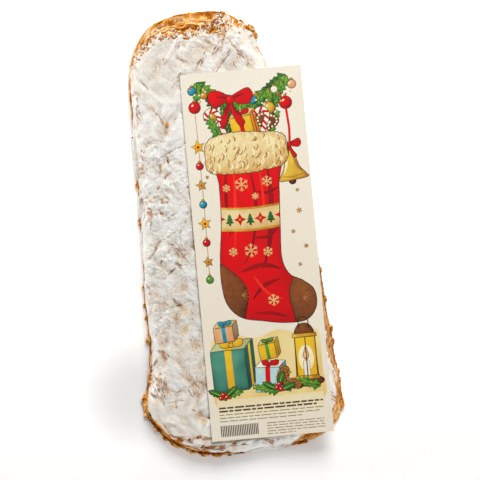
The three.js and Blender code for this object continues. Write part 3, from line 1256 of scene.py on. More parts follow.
@dataclass
class Bread:
    """The baked loaf and the sugar glaze over it."""

    shape: LoafShape = field(default_factory=LoafShape)
    surface: BakedSurface = field(default_factory=BakedSurface)
    crust_voxel: float = 1.5
    rim_band: float = 14.0
    head_band: float = 27.0
    pore_size: float = 2.6
    pore_depth: float = 0.12
    glaze_voxel: float = 0.85
    lining_voxel: float = 4.0
    lining_depth: float = 1.7
    glaze_foot: float = 1.4
    box_play: float = 0.15
    card_clearance: float = 0.12

    def build(self) -> list[bpy.types.Object]:
        """Makes the crust and the glaze and dresses them."""
        return [self._crust(), self._glaze()]

    def _fit(self, places: Points) -> Points:
        """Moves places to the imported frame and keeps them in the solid's box and under the card.

        Args:
            places: points in the loaf's own frame.

        Returns:
            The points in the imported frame.
        """
        low, high = (np.array(corner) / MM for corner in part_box("loaf"))
        moved = places + self.shape.shift
        moved[:, :2] = np.clip(moved[:, :2], low[:2] + self.box_play, high[:2] - self.box_play)
        card_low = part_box("card")[0].z / MM
        moved[:, 2] = np.clip(moved[:, 2], 0.0, card_low - self.card_clearance)
        return moved

    def _crust(self) -> bpy.types.Object:
        """Makes the loaf itself, closed, with its baked brown base.

        Returns:
            The finished crust.
        """
        piece = self.shape.plain_body("bread_crust")
        remesh(piece, self.crust_voxel)
        self._refine_rim(piece)
        sense = self.shape.settle(piece)
        places = vertices_of(piece)
        surface = self.surface.read(places, sense)
        base = 1 - smoothstep(0.05, 0.9, places[:, 2])
        pores = self.pore_depth * np.abs(self.surface.fine.at(places, self.pore_size)) * base
        lift = surface.dough * (1 - base)
        moved = places + normals_of(piece) * lift[:, None]
        moved[:, 2] += pores * base * smoothstep(1.5, 4.0, sense.inset)
        place_vertices(piece, self._fit(moved))
        self._dress_crust(piece, places, surface, base)
        finish_piece(piece, BakedCrust().material)
        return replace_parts(piece, "loaf")

    def _refine_rim(self, piece: bpy.types.Object) -> None:
        """Halves the faces where the crust stays bare, along the rim and over the head.

        Args:
            piece: the crust.
        """
        places = vertices_of(piece)
        inset = self.shape.sense_edge(places).inset
        widening = smoothstep(115, 145, places[:, 1])
        band = self.rim_band + (self.head_band - self.rim_band) * widening
        with editing(piece, whole=False):
            bpy.ops.mesh.select_mode(type="VERT")
        chosen = (inset < band) & (places[:, 2] > self.crust_voxel / 2)
        piece.data.vertices.foreach_set("select", chosen)
        bpy.ops.object.mode_set(mode="EDIT")
        bpy.ops.mesh.subdivide(number_cuts=1)
        bpy.ops.object.mode_set(mode="OBJECT")

    def _dress_crust(self, piece: bpy.types.Object, places: Points, surface: Surface,
                     base: Values) -> None:
        """Keeps the crust's layers, painted shade and painted light for its colours.

        Args:
            piece: the crust.
            places: its vertices before the relief.
            surface: what the dough does there.
            base: how much each is a part of the base.
        """
        x, y, z = places.T
        at_head, at_foot = smoothstep(100, 150, y), smoothstep(-100, -150, y)
        right, left = smoothstep(52, 68, x), smoothstep(-28, -50, x)
        steep_head = at_head * smoothstep(15.5, 11.0, z)
        # How strong the painted shade in the hollows is: weaker towards the head, on the steep head
        # crust and at the foot's right.
        hollow_shade_weight = (1 - 0.3 * smoothstep(60, 110, y)) * (1 - 0.4 * steep_head)
        hollow_shade_weight *= 1 - 0.85 * smoothstep(5, 30, x) * smoothstep(-135, -155, y)
        # Painted shadow lines under the crust's shelves.
        ledge_shadows = np.zeros(len(places))
        bent = self.surface.fine.warped(places, 3.0, 1.2)
        for ledge_shadow in LEDGE_SHADOWS:
            gap = signed_gap(bent, ledge_shadow.points) / ledge_shadow.width
            ledge_shadows = np.maximum(ledge_shadows, ledge_shadow.depth * np.exp(-(gap**2)))
        # More painted shadow on the crust just under the glaze's edge at the foot.
        under_glaze = smoothstep(-145, -156, y) * smoothstep(14, 16.5, z)
        ledge_shadows = np.maximum(ledge_shadows, 0.6 * under_glaze * smoothstep(25, 5, x))
        # Painted shade in the hollows and under the rim's shelves, plus the baked brown underside,
        # which is the crust's own colour.
        hollow = np.maximum(surface.hollow * hollow_shade_weight, ledge_shadows) + 0.25 * base
        waist = smoothstep(-105, -60, y) * smoothstep(85, 60, y)
        # Painted light on the left towards the head lifts the crust's layers there; they are also
        # lifted a little at the head and the foot, less at the foot's left.
        painted_light_head_left = smoothstep(0, -40, x) * smoothstep(60, 140, y)
        lift = np.maximum(0.3 * painted_light_head_left, 0.04 * np.maximum(at_foot, at_head)) - 0.1 * left * at_foot
        contrast = (0.75 + 0.6 * at_head) * (1 - 0.4 * steep_head)
        streaky = np.clip(0.8 + 0.5 * surface.strata, 0, 1)
        # Painted light: lighter cream on the right rim and on the left side at the waist and the
        # head, less where the head crust is steep.
        painted_light_left = left * np.maximum(0.6 * waist, 0.3 * at_head - 0.2 * steep_head)
        pale = np.maximum(0.38 * right * (1 - 0.6 * at_head), painted_light_left)
        # Painted shade near the floor, stronger towards the loaf's foot and weaker on the right,
        # kept to the lowest band of the side below.
        low_shade_to_foot = 0.6 * smoothstep(-60, -130, y) * (1 - 0.6 * right)
        low = 1 - smoothstep(0.7, 2.6, z)
        for name, values in (
                ("hollow", np.clip(hollow, 0, 1)),
                ("strata", np.clip(0.5 + contrast * surface.strata + lift, 0, 1)),
                ("pale", streaky * pale),
                ("toast", low * np.clip(0.15 * (1 - left * waist) + low_shade_to_foot, 0, 1))):
            keep_values(piece, name, values)

    def _glaze(self) -> bpy.types.Object:
        """Makes the glaze's skin, closed by a lining that lies inside the loaf.

        Returns:
            The finished glaze.
        """
        piece = self.shape.plain_body("sugar_glaze")
        remesh(piece, self.glaze_voxel)
        self._open_below(piece, self.glaze_foot)
        sense = self.shape.settle(piece)
        places, normals = vertices_of(piece), normals_of(piece)
        surface = self.surface.read(places, sense)
        thickness = (surface.dough + surface.glaze)[:, None]
        place_vertices(piece, self._fit(places + normals * thickness))
        for name in (
                "film", "worn", "seam", "seamed", "warm", "tinted", "pitted", "rugged", "grain"):
            keep_values(piece, name, getattr(surface, name))
        lining = self._lining()
        make_active(piece)
        lining.select_set(True)
        bpy.ops.object.join()
        with editing(piece, whole=False):
            bpy.ops.mesh.select_non_manifold(extend=False, use_wire=False, use_multi_face=False)
            bpy.ops.mesh.bridge_edge_loops()
        finish_piece(piece, SugarGlaze().material)
        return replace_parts(piece, "loaf")

    def _open_below(self, piece: bpy.types.Object, height: float) -> None:
        """Cuts off what lies below a height, and leaves the cut open."""
        with editing(piece):
            bpy.ops.mesh.bisect(plane_co=(0, 0, height * MM), plane_no=(0, 0, 1), clear_inner=True)

    def _lining(self) -> bpy.types.Object:
        """Makes a coarse inner wall that faces into the loaf.

        Returns:
            The wall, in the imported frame.
        """
        piece = self.shape.plain_body("glaze_lining")
        remesh(piece, self.lining_voxel)
        self._open_below(piece, self.glaze_foot)
        self.shape.settle(piece)
        places, normals = vertices_of(piece), normals_of(piece)
        at_cut = places[:, 2:] < self.glaze_foot + 0.1
        keeps_level = normals * np.where(at_cut, [[1, 1, 0]], [[1, 1, 1]])
        place_vertices(piece, places - keeps_level * self.lining_depth + self.shape.shift)
        with editing(piece):
            bpy.ops.mesh.flip_normals()
        return piece


@dataclass(frozen=True)
class Bead:
    """A knob of dough on the rim, or a crumb on the glaze, with its half sizes in millimetres."""

    x: float
    y: float
    z: float
    reach: float
    width: float
    height: float


RIM_BEADS = rows(
    Bead,
    (-60.5, 43.0, 2.2, 2.0, 1.0, 1.3), (-61.5, 18.8, 2.0, 1.4, 0.8, 1.1),
    (-62.5, 13.0, 1.8, 1.2, 0.8, 1.0), (-65.2, -35.0, 2.0, 1.6, 1.0, 1.2),
    (-66.0, -50.0, 2.2, 1.8, 1.2, 1.4), (-66.8, -60.2, 1.9, 1.8, 1.1, 1.3),
    (-69.6, -77.3, 2.4, 3.6, 1.9, 2.2), (-78.0, -120.0, 2.2, 2.2, 1.4, 1.7),
    (-77.8, -134.0, 2.2, 2.0, 1.2, 1.5), (-71.0, -148.0, 2.2, 2.2, 1.3, 1.5),
    (-66.0, -154.5, 2.4, 2.4, 1.3, 1.6), (-57.0, -163.0, 2.3, 3.0, 1.5, 1.7),
    (-46.0, -169.0, 2.5, 3.6, 1.8, 2.2), (-37.0, -171.5, 2.2, 3.2, 1.6, 1.9),
    (-26.0, -173.0, 2.2, 3.6, 1.5, 1.8), (74.6, -39.4, 2.2, 1.8, 1.0, 1.3),
    (76.4, -64.0, 2.2, 2.2, 1.2, 1.5), (78.3, -86.0, 2.4, 2.4, 1.4, 1.7),
    (77.9, -98.0, 2.2, 2.0, 1.2, 1.4), (76.8, -122.0, 2.2, 2.0, 1.2, 1.4),
    (77.2, -146.0, 2.6, 2.6, 1.7, 2.0), (45.5, 154.0, 3.0, 3.2, 1.8, 2.2),
    (48.5, 149.0, 2.8, 3.0, 1.7, 2.0), (25.0, 169.0, 2.2, 1.8, 0.8, 1.0),
    (47.5, 151.5, 2.8, 2.6, 1.2, 1.5), (38.0, 161.0, 2.0, 1.8, 0.9, 1.2),
)
CRUMBS = rows(
    Bead,
    (-29.4, 87.4, 19.6, 1.5, 1.2, 0.7), (-57.5, 81.5, 15.0, 0.8, 0.6, 0.5),
    (-38.5, 57.0, 19.2, 0.8, 0.6, 0.5), (-23.0, 57.0, 19.5, 0.8, 0.6, 0.5),
    (-39.0, 53.0, 19.2, 1.1, 0.6, 0.5), (-24.0, 45.0, 19.5, 0.5, 0.5, 0.4),
    (-20.0, 37.0, 19.6, 0.6, 0.6, 0.4), (-33.0, 41.0, 19.4, 0.5, 0.5, 0.4),
    (-52.0, -131.5, 19.0, 0.6, 0.5, 0.4), (-57.0, -119.0, 19.0, 0.7, 0.5, 0.4),
    (-63.0, -146.0, 17.0, 0.7, 0.6, 0.5), (-61.0, -150.0, 16.0, 0.7, 0.6, 0.5),
    (-61.0, -104.0, 19.0, 0.7, 0.6, 0.4), (-39.0, -136.0, 19.3, 1.2, 0.6, 0.4),
    (26.0, 157.0, 19.0, 0.6, 0.6, 0.5), (25.0, 152.5, 19.2, 0.6, 0.6, 0.5),
    (24.0, 148.0, 19.3, 0.7, 0.5, 0.5), (40.0, 127.0, 19.3, 0.6, 0.6, 0.4),
    (29.0, 128.0, 19.4, 0.8, 0.5, 0.4), (-50.0, 64.0, 19.0, 0.5, 0.5, 0.4),
)


@dataclass
class Beads:
    """Small lumps that sit half sunk along the rim or on the glaze, joined into one piece."""

    name: str
    placed: tuple[Bead, ...]
    scattered: int
    shape: LoafShape
    seed: int = 12
    unevenness: float = 0.28
    swell: float = 1.15
    highest_scatter: float = -95.0
    low_limit: float = 6.0
    box_play: float = 0.1
    lowest: float = 0.05

    def build(self, material: bpy.types.Material, slot: str) -> bpy.types.Object:
        """Adds a ball for each bead, pulls it out of round and joins them.

        Args:
            material: what the beads are made of.
            slot: not used.

        Returns:
            The joined piece.
        """
        noise = Noise(self.seed)
        balls = []
        for bead in (*self.placed, *self._scatter()):
            start_fresh()
            bpy.ops.mesh.primitive_ico_sphere_add(subdivisions=3, radius=1.0)
            balls.append(bpy.context.object)
            places = vertices_of(balls[-1]) * MM
            places *= 1 + self.unevenness * noise.at(places + bead.x, 0.8)[:, None]
            centre, along = self._stand(bead)
            across = np.array([-along[1], along[0], 0.0])
            axes = np.stack([bead.reach * along, bead.width * across, [0, 0, bead.height]])
            place_vertices(balls[-1], places @ (self.swell * axes) + centre)
        make_active(balls[0])
        for ball in balls:
            ball.select_set(True)
        bpy.ops.object.join()
        piece = bpy.context.object
        piece.name = self.name
        low, high = (np.array(corner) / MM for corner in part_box("loaf"))
        places = vertices_of(piece)
        places[:, :2] = np.clip(places[:, :2], low[:2] + self.box_play, high[:2] - self.box_play)
        places[:, 2] = np.maximum(places[:, 2], self.lowest)
        place_vertices(piece, places)
        places = vertices_of(piece)
        # Random darker patches and layers on the beads, with painted shade near the floor on their
        # lowest part.
        for name, values in (
                ("hollow", np.clip(0.1 + noise.at(places, 2.4), 0, 1)),
                ("strata", np.clip(0.6 + 0.5 * noise.at(places, 1.7), 0, 1)),
                ("toast", 0.4 * (1 - smoothstep(0.8, 2.6, places[:, 2]))),
                ("pale", np.zeros(len(places)))):
            keep_values(piece, name, values)
        finish_piece(piece, material)
        return piece

    def _scatter(self) -> list[Bead]:
        """Draws small beads at random places round the foot of the side.

        Returns:
            The beads that fall on the wide end.
        """
        draw = np.random.default_rng(self.seed)
        beads = []
        for index in draw.integers(0, self.shape.rim_points, self.scattered):
            x, y = self.shape.rim[index] + self.shape.rim_inwards[index] * draw.uniform(0.6, 2.4)
            size = draw.uniform(0.5, 1.2)
            if y > self.highest_scatter:
                continue
            z, reach = draw.uniform(0.8, 2.8), size * draw.uniform(1.0, 1.9)
            beads.append(Bead(x, y, z, reach, size, size))
        return beads

    def _stand(self, bead: Bead) -> tuple[Points, Points]:
        """Where a bead sits, drawn to the rim if it lies low, and the way the rim runs there.

        Args:
            bead: the bead.

        Returns:
            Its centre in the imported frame, and a level direction.
        """
        rim, inwards = self.shape.rim, self.shape.rim_inwards
        nearest = np.argmin(np.hypot(rim[:, 0] - bead.x, rim[:, 1] - bead.y))
        heading = math.atan2(-inwards[nearest][0], inwards[nearest][1])
        centre = np.array([bead.x, bead.y, bead.z])
        if bead.z <= self.low_limit:
            edge = rim[nearest] + inwards[nearest] * (0.3 * bead.width + 0.4)
            centre[:2] = np.clip(edge, rim.min(axis=0) + bead.width, rim.max(axis=0) - bead.width)
        return centre + self.shape.shift, np.array([math.cos(heading), math.sin(heading), 0.0])


# --- the card's print ---


@dataclass(frozen=True)
class Stand:
    """Where a motif stands on the card, its turn in degrees anticlockwise, and its size."""

    x: float
    y: float
    turn: float = 0.0
    size: float = 1.0

    def put(self, points: Points) -> Points:
        """Turns a shape about its own origin, resizes it and moves it there.

        Args:
            points: the shape's points.

        Returns:
            The points on the card.
        """
        angle = math.radians(self.turn)
        spin = np.array([[math.cos(angle), math.sin(angle)], [-math.sin(angle), math.cos(angle)]])
        return self.size * np.asarray(points, float) @ spin + np.array([self.x, self.y])


def spline(points: Points, closed: bool = True, step: float = 1.2) -> Points:
    """Draws a smooth line through a few points.

    Args:
        points: the points, in millimetres on the card.
        closed: whether the line comes back to its start.
        step: about how far apart the line's own points are.

    Returns:
        The line's points.
    """
    given = np.array(points, float)
    count = len(given) if closed else len(given) - 1
    drawn = []
    for i in range(count):
        if closed:
            a, b, c, d = (given[(i + k) % len(given)] for k in (-1, 0, 1, 2))
        else:
            a, b, c, d = (given[min(max(i + k, 0), len(given) - 1)] for k in (-1, 0, 1, 2))
        stops = max(2, round(float(np.linalg.norm(c - b)) / step))
        for t in np.arange(stops) / stops:
            drawn.append(0.5 * (2 * b + (c - a) * t + (2 * a - 5 * b + 4 * c - d) * t**2
                                + (3 * b - a - 3 * c + d) * t**3))
    if not closed:
        drawn.append(given[-1])
    return np.array(drawn)


def ribbon(path: Points, start: float, end: float, middle: float | None = None) -> Points:
    """The outline of a stroke that changes its width along a path.

    Args:
        path: the stroke's middle line.
        start: its width at the start.
        end: its width at the end.
        middle: its width half way, or nothing for a plain taper.

    Returns:
        The outline's points.
    """
    path = np.asarray(path, float)
    along = np.gradient(path, axis=0)
    along /= np.maximum(np.linalg.norm(along, axis=1, keepdims=True), 1e-6)
    side = np.stack([-along[:, 1], along[:, 0]], axis=1)
    share = np.linspace(0, 1, len(path))
    half = (start + (end - start) * share) / 2
    if middle is not None:
        half += (middle - (start + end) / 2) / 2 * np.sin(np.pi * share)
    return np.concatenate([path + side * half[:, None], (path - side * half[:, None])[::-1]])


def oval(x: float, y: float, across: float, up: float | None = None, tilt: float = 0.0) -> Points:
    """An oval, or a circle if only one radius is given.

    Args:
        x: where its middle is.
        y: where its middle is.
        across: its radius across.
        up: its radius upwards.
        tilt: how far it leans, in degrees.

    Returns:
        The outline's points.
    """
    up = across if up is None else up
    count = max(10, round(2 * math.pi * max(across, up) / 1.1))
    angle = np.arange(count) / count * 2 * np.pi
    return Stand(x, y, tilt).put(np.column_stack([across * np.cos(angle), up * np.sin(angle)]))


def star(arms: int, outer: float, inner: float) -> Points:
    """A star about the origin, with one arm up.

    Args:
        arms: how many arms it has.
        outer: how far they reach.
        inner: how far the notches between them are.

    Returns:
        The outline's points.
    """
    angle = np.arange(2 * arms) / (2 * arms) * 2 * np.pi + np.pi / 2
    reach = np.where(np.arange(2 * arms) % 2, inner, outer)
    return np.column_stack([reach * np.cos(angle), reach * np.sin(angle)])


@dataclass(frozen=True)
class Ink:
    """A printed colour that darkens one way and towards its edge, with a cloudy grain."""

    light: str
    dark: str
    heading: float = -60.0
    edge: float = 0.35
    edge_width: float = 2.2
    clouds: float = 0.25
    cloud_size: float = 5.0


class Inks(Enum):
    """The print's inks."""

    PAPER = Ink("#F4ECDA", "#F1E6D1", clouds=0.5, cloud_size=40.0, edge=0.0)
    GROUND = Ink(
        "#F4DFA0", "#EBCB7A", heading=-90, clouds=0.6, cloud_size=14.0, edge=0.25, edge_width=4.0)
    FADED = Ink("#F3E8C8", "#F1DFAE", heading=90, clouds=0.3, cloud_size=20.0, edge=0.0)
    KEY = Ink("#3A1A10", "#2A120C", edge=0.0)
    RED = Ink("#F20009", "#BE0510", heading=-35, edge=0.3, edge_width=4.0, cloud_size=16.0)
    RED_FOLD = Ink("#A80510", "#7A0410", edge=0.0)
    RED_GLOW = Ink("#F83420", "#F2140E", edge=0.0)
    GREEN = Ink("#6FB532", "#2F7A2C", heading=-80, edge=0.3, edge_width=1.5, cloud_size=4.0)
    GREEN_DARK = Ink("#3C8430", "#1D4A24", heading=-80, edge=0.3, edge_width=1.5, cloud_size=4.0)
    GREEN_GLOW = Ink("#A8CC4A", "#7EB83A", edge=0.0)
    YELLOW = Ink("#F8D030", "#DFA21C", edge=0.3)
    YELLOW_SHADE = Ink("#D9A01E", "#B87A16", edge=0.2)
    GOLD = Ink("#FBD94E", "#B5751A", heading=-30, edge=0.45, edge_width=1.8)
    WOOL = Ink("#FAEBB4", "#D9A95C", heading=-75, edge=0.45, edge_width=3.5, cloud_size=4.0)
    WOOL_LIGHT = Ink("#FDF4CF", "#F6E3A4", edge=0.0)
    WOOL_DARK = Ink("#C68F45", "#8A5422", edge=0.0)
    BROWN = Ink("#96552A", "#4E2412", heading=-60, edge=0.4, cloud_size=3.0)
    BROWN_LIGHT = Ink("#C98F3C", "#9A5E26", edge=0.2)
    TEAL = Ink("#5CA58C", "#1F5C50", heading=-50, edge=0.35, cloud_size=9.0)
    TEAL_SHADE = Ink("#2C6A5C", "#16403A", edge=0.2)
    BLUE = Ink("#2BB3C4", "#0A7F98", heading=-50, edge=0.3)
    BLUE_PALE = Ink("#CFE6E2", "#8CC4CC", heading=-50, edge=0.3)
    MINT = Ink("#D9DCA8", "#A9B070", heading=-50, edge=0.3)
    PINK = Ink("#F0C08C", "#D9905C", heading=-50, edge=0.3)
    WHITE = Ink("#FBF5E4", "#E9DFC4", edge=0.2)
    TEXT = Ink("#4A3A2A", "#5A4A36", edge=0.0, clouds=1.0, cloud_size=1.2)
    TEXT_PALE = Ink("#8A7A60", "#A0906E", edge=0.0, clouds=1.0, cloud_size=1.2)


@dataclass
class Shape:
    """One printed shape; it shows only inside another one if that is named."""

    outline: Points
    ink: Inks
    within: int | None = None


@dataclass
class FestivePrint:
    """A cheerful old-style picture: a stuffed red stocking, fir, parcels and a lantern."""

    width: float = 95.0
    length: float = 287.0
    key: float = 0.45
    berries: int = 46
    curls: int = 170
    seed: int = 7
    shapes: list[Shape] = field(default_factory=list)

    def draw(self) -> list[Shape]:
        """Draws every motif from the back to the front.

        Returns:
            The shapes, in the order in which they are printed.
        """
        self.chance = np.random.default_rng(self.seed)
        self._paper()
        self._garland()
        self._hanging_bell(33, 66)
        self._star_string(-38, 78)
        self._stuffing()
        self._stocking()
        self._bow(Stand(-10, 121))
        self._parcels()
        self._lantern(Stand(31, -104))
        self._forest_floor()
        self._captions()
        return self.shapes

    def add(self, outline: Points, ink: Inks, key: float = 0.0, within: int | None = None) -> int:
        """Adds a shape, with a dark line round it if key is above zero.

        Args:
            outline: its points.
            ink: what it is printed in.
            key: the dark line's width.
            within: the number of the shape that it is cut to.

        Returns:
            The shape's number.
        """
        outline = np.asarray(outline, float)
        x, y = outline[:, 0], outline[:, 1]
        if (x * np.roll(y, -1) - y * np.roll(x, -1)).sum() < 0:
            outline = outline[::-1]
        if key > 0:
            along = np.roll(outline, -1, axis=0) - np.roll(outline, 1, axis=0)
            along /= np.maximum(np.linalg.norm(along, axis=1, keepdims=True), 1e-6)
            outwards = np.stack([along[:, 1], -along[:, 0]], axis=1)
            self.shapes.append(Shape(outline + outwards * key, Inks.KEY, within))
        self.shapes.append(Shape(outline, ink, within))
        return len(self.shapes) - 1

    def line(self, points: Points, ink: Inks, start: float, end: float,
             middle: float | None = None, within: int | None = None) -> int:
        """Adds a tapered stroke through a few points.

        Args:
            points: the points that it passes.
            ink: what it is printed in.
            start: its width at the start.
            end: its width at the end.
            middle: its width half way.
            within: the number of the shape that it is cut to.

        Returns:
            The shape's number.
        """
        return self.add(ribbon(spline(points, closed=False), start, end, middle), ink, 0.0, within)

    def _paper(self) -> None:
        """The bare card, the yellow ground and the faded field under the small print."""
        half, top = self.width / 2, self.length / 2
        self.add([(-half, -top), (half, -top), (half, top), (-half, top)], Inks.PAPER)
        self.add(spline([
            (-41, -66), (-28, -60), (-8, -66), (12, -61), (30, -67), (42, -64), (43, -92),
            (42, -117), (10, -116), (-20, -116), (-41, -117), (-42, -92)]), Inks.GROUND)
        self.add([(-41, -126), (42, -126), (42, -112), (-41, -112)], Inks.FADED)

    def _frond(self, at: Stand, length: float, ink: Inks = Inks.GREEN) -> None:
        """A fir branch: a pointed leafy mass with ragged sides and lighter needles.

        Args:
            at: where it grows from, turned the way it points.
            length: how long it is.
            ink: its green.
        """
        teeth = max(4, round(length / 3.6))
        spread = 0.2 * length
        right, left = [], []
        for i in range(teeth):
            share = (i + 0.5) / teeth
            out = spread * (1 - share) ** 0.7 + 0.8
            reach = length * share
            jump = self.chance.uniform(0.8, 1.2)
            for side, sign in ((right, -1), (left, 1)):
                side += [(reach, sign * out * 0.55), (reach + 0.1 * length, sign * out * jump)]
        outline = [(0, -1), *right, (length, 0), *left[::-1], (0, 1)]
        body = self.add(at.put(outline), ink, self.key)
        for i, sign in itertools.product(range(teeth), (-1, 1)):
            root = length * (i + 0.4) / teeth
            needle = [(root, 0), (root + 0.12 * length, sign * spread * 0.5 * (1 - i / teeth))]
            light = Inks.GREEN_GLOW if self.chance.random() < 0.6 else Inks.GREEN_DARK
            self.add(ribbon(at.put(needle), 0.8, 0.15), light, within=body)
        self.add(ribbon(at.put([(0, 0), (0.9 * length, 0)]), 0.9, 0.3), Inks.BROWN, within=body)

    def _garland(self) -> None:
        """Fir across the top, denser in the corners, with baubles."""
        for side in (-1, 1):
            for row, ink in ((1.0, Inks.GREEN_DARK), (0.0, Inks.GREEN)):
                for i in range(8):
                    share = i / 7
                    x = side * (35 - 31 * share)
                    y = 136 - 15 * share - 2 * math.sin(math.pi * share)
                    heading = -90 - 18 * side + self.chance.uniform(-26, 26) - 18 * side * row
                    length = self.chance.uniform(15, 21) + 3 * row
                    self._frond(Stand(x, y, heading), length, ink)
        for x, y, radius, ink in (
                (-38, 117, 4.4, Inks.RED), (-25, 108, 3.6, Inks.GOLD), (-39, 130, 3.2, Inks.BLUE),
                (20, 112, 4.4, Inks.GOLD), (33, 115, 4.8, Inks.RED), (39, 129, 3.2, Inks.PINK),
                (8, 119, 3.0, Inks.BLUE), (-30, 126, 2.6, Inks.GOLD), (25, 126, 2.6, Inks.WHITE)):
            self._bauble(x, y, radius, ink)
        for _ in range(self.berries):
            x = self.chance.uniform(-40, 40)
            y = 119 + 0.25 * abs(x) + self.chance.uniform(-10, 6)
            ink = self.chance.choice([Inks.WHITE, Inks.YELLOW, Inks.RED_GLOW])
            self.add(oval(x, y, 0.75), ink)

    def _bauble(self, x: float, y: float, radius: float, ink: Inks) -> None:
        """A glass ball with a cap and a bright spot.

        Args:
            x: where its middle is.
            y: where its middle is.
            radius: the ball's radius.
            ink: its colour.
        """
        self.add(oval(x, y + radius + 0.5, 1.1, 1.0), Inks.GOLD, 0.3)
        ball = self.add(oval(x, y, radius), ink, self.key)
        reach = radius * 0.75
        shade = [(reach * math.cos(a), reach * math.sin(a)) for a in np.linspace(-2.2, 0.4, 8)]
        dark = {Inks.RED: Inks.RED_FOLD, Inks.GOLD: Inks.YELLOW_SHADE, Inks.BLUE: Inks.TEAL_SHADE}
        if ink in dark:
            body = ribbon(Stand(x, y).put(shade), 0.2, 0.2, 0.28 * radius)
            self.add(body, dark[ink], within=ball)
        glint = oval(x - 0.35 * radius, y + 0.4 * radius, 0.24 * radius, 0.16 * radius, 40)
        self.add(glint, Inks.WHITE)

    def _bow(self, at: Stand) -> None:
        """A red ribbon tied in a bow.

        Args:
            at: where its knot is.
        """
        for outline in (
                [(0, 0), (-5, -9), (-9, -19), (-5, -20), (-2, -11), (1, -2)],
                [(0, 0), (4, -9), (10, -18), (6, -21), (1, -11), (-1, -2)],
                [(0, 1), (-8, 7), (-15, 7), (-17, 1), (-13, -5), (-6, -3)],
                [(0, 1), (8, 6), (15, 8), (18, 2), (14, -4), (6, -3)]):
            outline = at.put(outline)
            part = self.add(spline(outline), Inks.RED, self.key)
            end = outline[[0, 2, 3]].mean(axis=0)
            fold = [(at.x, at.y), (0.5 * (at.x + end[0]), 0.5 * (at.y + end[1]) + 0.6), end]
            self.line(fold, Inks.RED_FOLD, 0.6, 0.3, 2.0 * at.size, part)
        self.add(oval(at.x, at.y, 3.0 * at.size, 3.4 * at.size), Inks.RED, self.key)
        self.add(oval(at.x - 0.8, at.y + 0.9, 1.0 * at.size, 1.2 * at.size), Inks.RED_GLOW)

    def _hanging_bell(self, x: float, y: float) -> None:
        """A brass bell on a red band, with a small bow.

        Args:
            x: where its middle is.
            y: where its middle is.
        """
        at = Stand(x, y, 6)
        self.line([(x, y + 44), (x + 1, y + 28), (x, y + 14)], Inks.RED, 1.8, 1.8)
        bell = [(-3, 12), (-4.5, 6), (-6, -2), (-10.5, -9), (-10.5, -11.5), (10.5, -11.5),
                (10.5, -9), (6, -2), (4.5, 6), (3, 12), (0, 13.5)]
        self.add(oval(x, y - 12.5, 2.6), Inks.BROWN, self.key)
        body = self.add(spline(at.put(bell)), Inks.GOLD, self.key)
        for points, ink, widths in (
                ([(-9, -8), (0, -9.4), (9, -8)], Inks.YELLOW_SHADE, (0.8, 0.8, 1.2)),
                ([(-2.5, 9), (-3.4, 1), (-6.5, -6)], Inks.WOOL_LIGHT, (0.5, 0.5, 1.9)),
                ([(3, 9), (4, 1), (7.5, -6)], Inks.BROWN_LIGHT, (0.5, 0.8, 2.2))):
            self.line(at.put(points), ink, *widths, body)
        self._bow(Stand(x, y + 16, 0, 0.5))

    def _star_string(self, x: float, y: float) -> None:
        """Straw stars and small balls on a thread.

        Args:
            x: where the thread hangs.
            y: the height that its stars are counted from.
        """
        self.line([(x, y + 34), (x + 0.6, y - 30), (x, y - 96)], Inks.BROWN_LIGHT, 0.5, 0.5)
        for drop, size, ink in ((8, 5.6, Inks.YELLOW), (-22, 4.4, Inks.GOLD),
                                (-52, 5.2, Inks.YELLOW), (-82, 4.2, Inks.GOLD)):
            self.add(Stand(x, y + drop, 10).put(star(5, size, 0.42 * size)), ink, self.key)
            self.add(oval(x, y + drop, 0.22 * size), Inks.RED)
        for drop, ink in ((-7, Inks.RED), (-37, Inks.BLUE), (-67, Inks.RED), (-96, Inks.GREEN)):
            self._bauble(x, y + drop, 2.7, ink)

    def _cane(self, at: Stand, length: float) -> None:
        """A sugar cane with red bands.

        Args:
            at: where its foot is, and how it leans.
            length: how long it is.
        """
        hook = [(0, 0), (0, 0.6), (0, 0.85), (-0.12, 0.99), (-0.27, 0.93), (-0.3, 0.8)]
        path = spline(at.put(length * np.array(hook)), closed=False)
        stick = self.add(ribbon(path, 3.6, 3.6), Inks.WHITE, self.key)
        walked = np.concatenate([[0], np.cumsum(np.linalg.norm(np.diff(path, axis=0), axis=1))])
        along = np.gradient(path, axis=0)
        along /= np.linalg.norm(along, axis=1, keepdims=True)
        for stop in np.arange(1.0, walked[-1], 4.6):
            i = int(np.searchsorted(walked, stop))
            side = np.array([-along[i][1], along[i][0]])
            band = [path[i] - side * 2.4 - along[i] * 1.4, path[i] + side * 2.4 + along[i] * 1.4]
            self.add(ribbon(band, 1.7, 1.7), Inks.RED, within=stick)

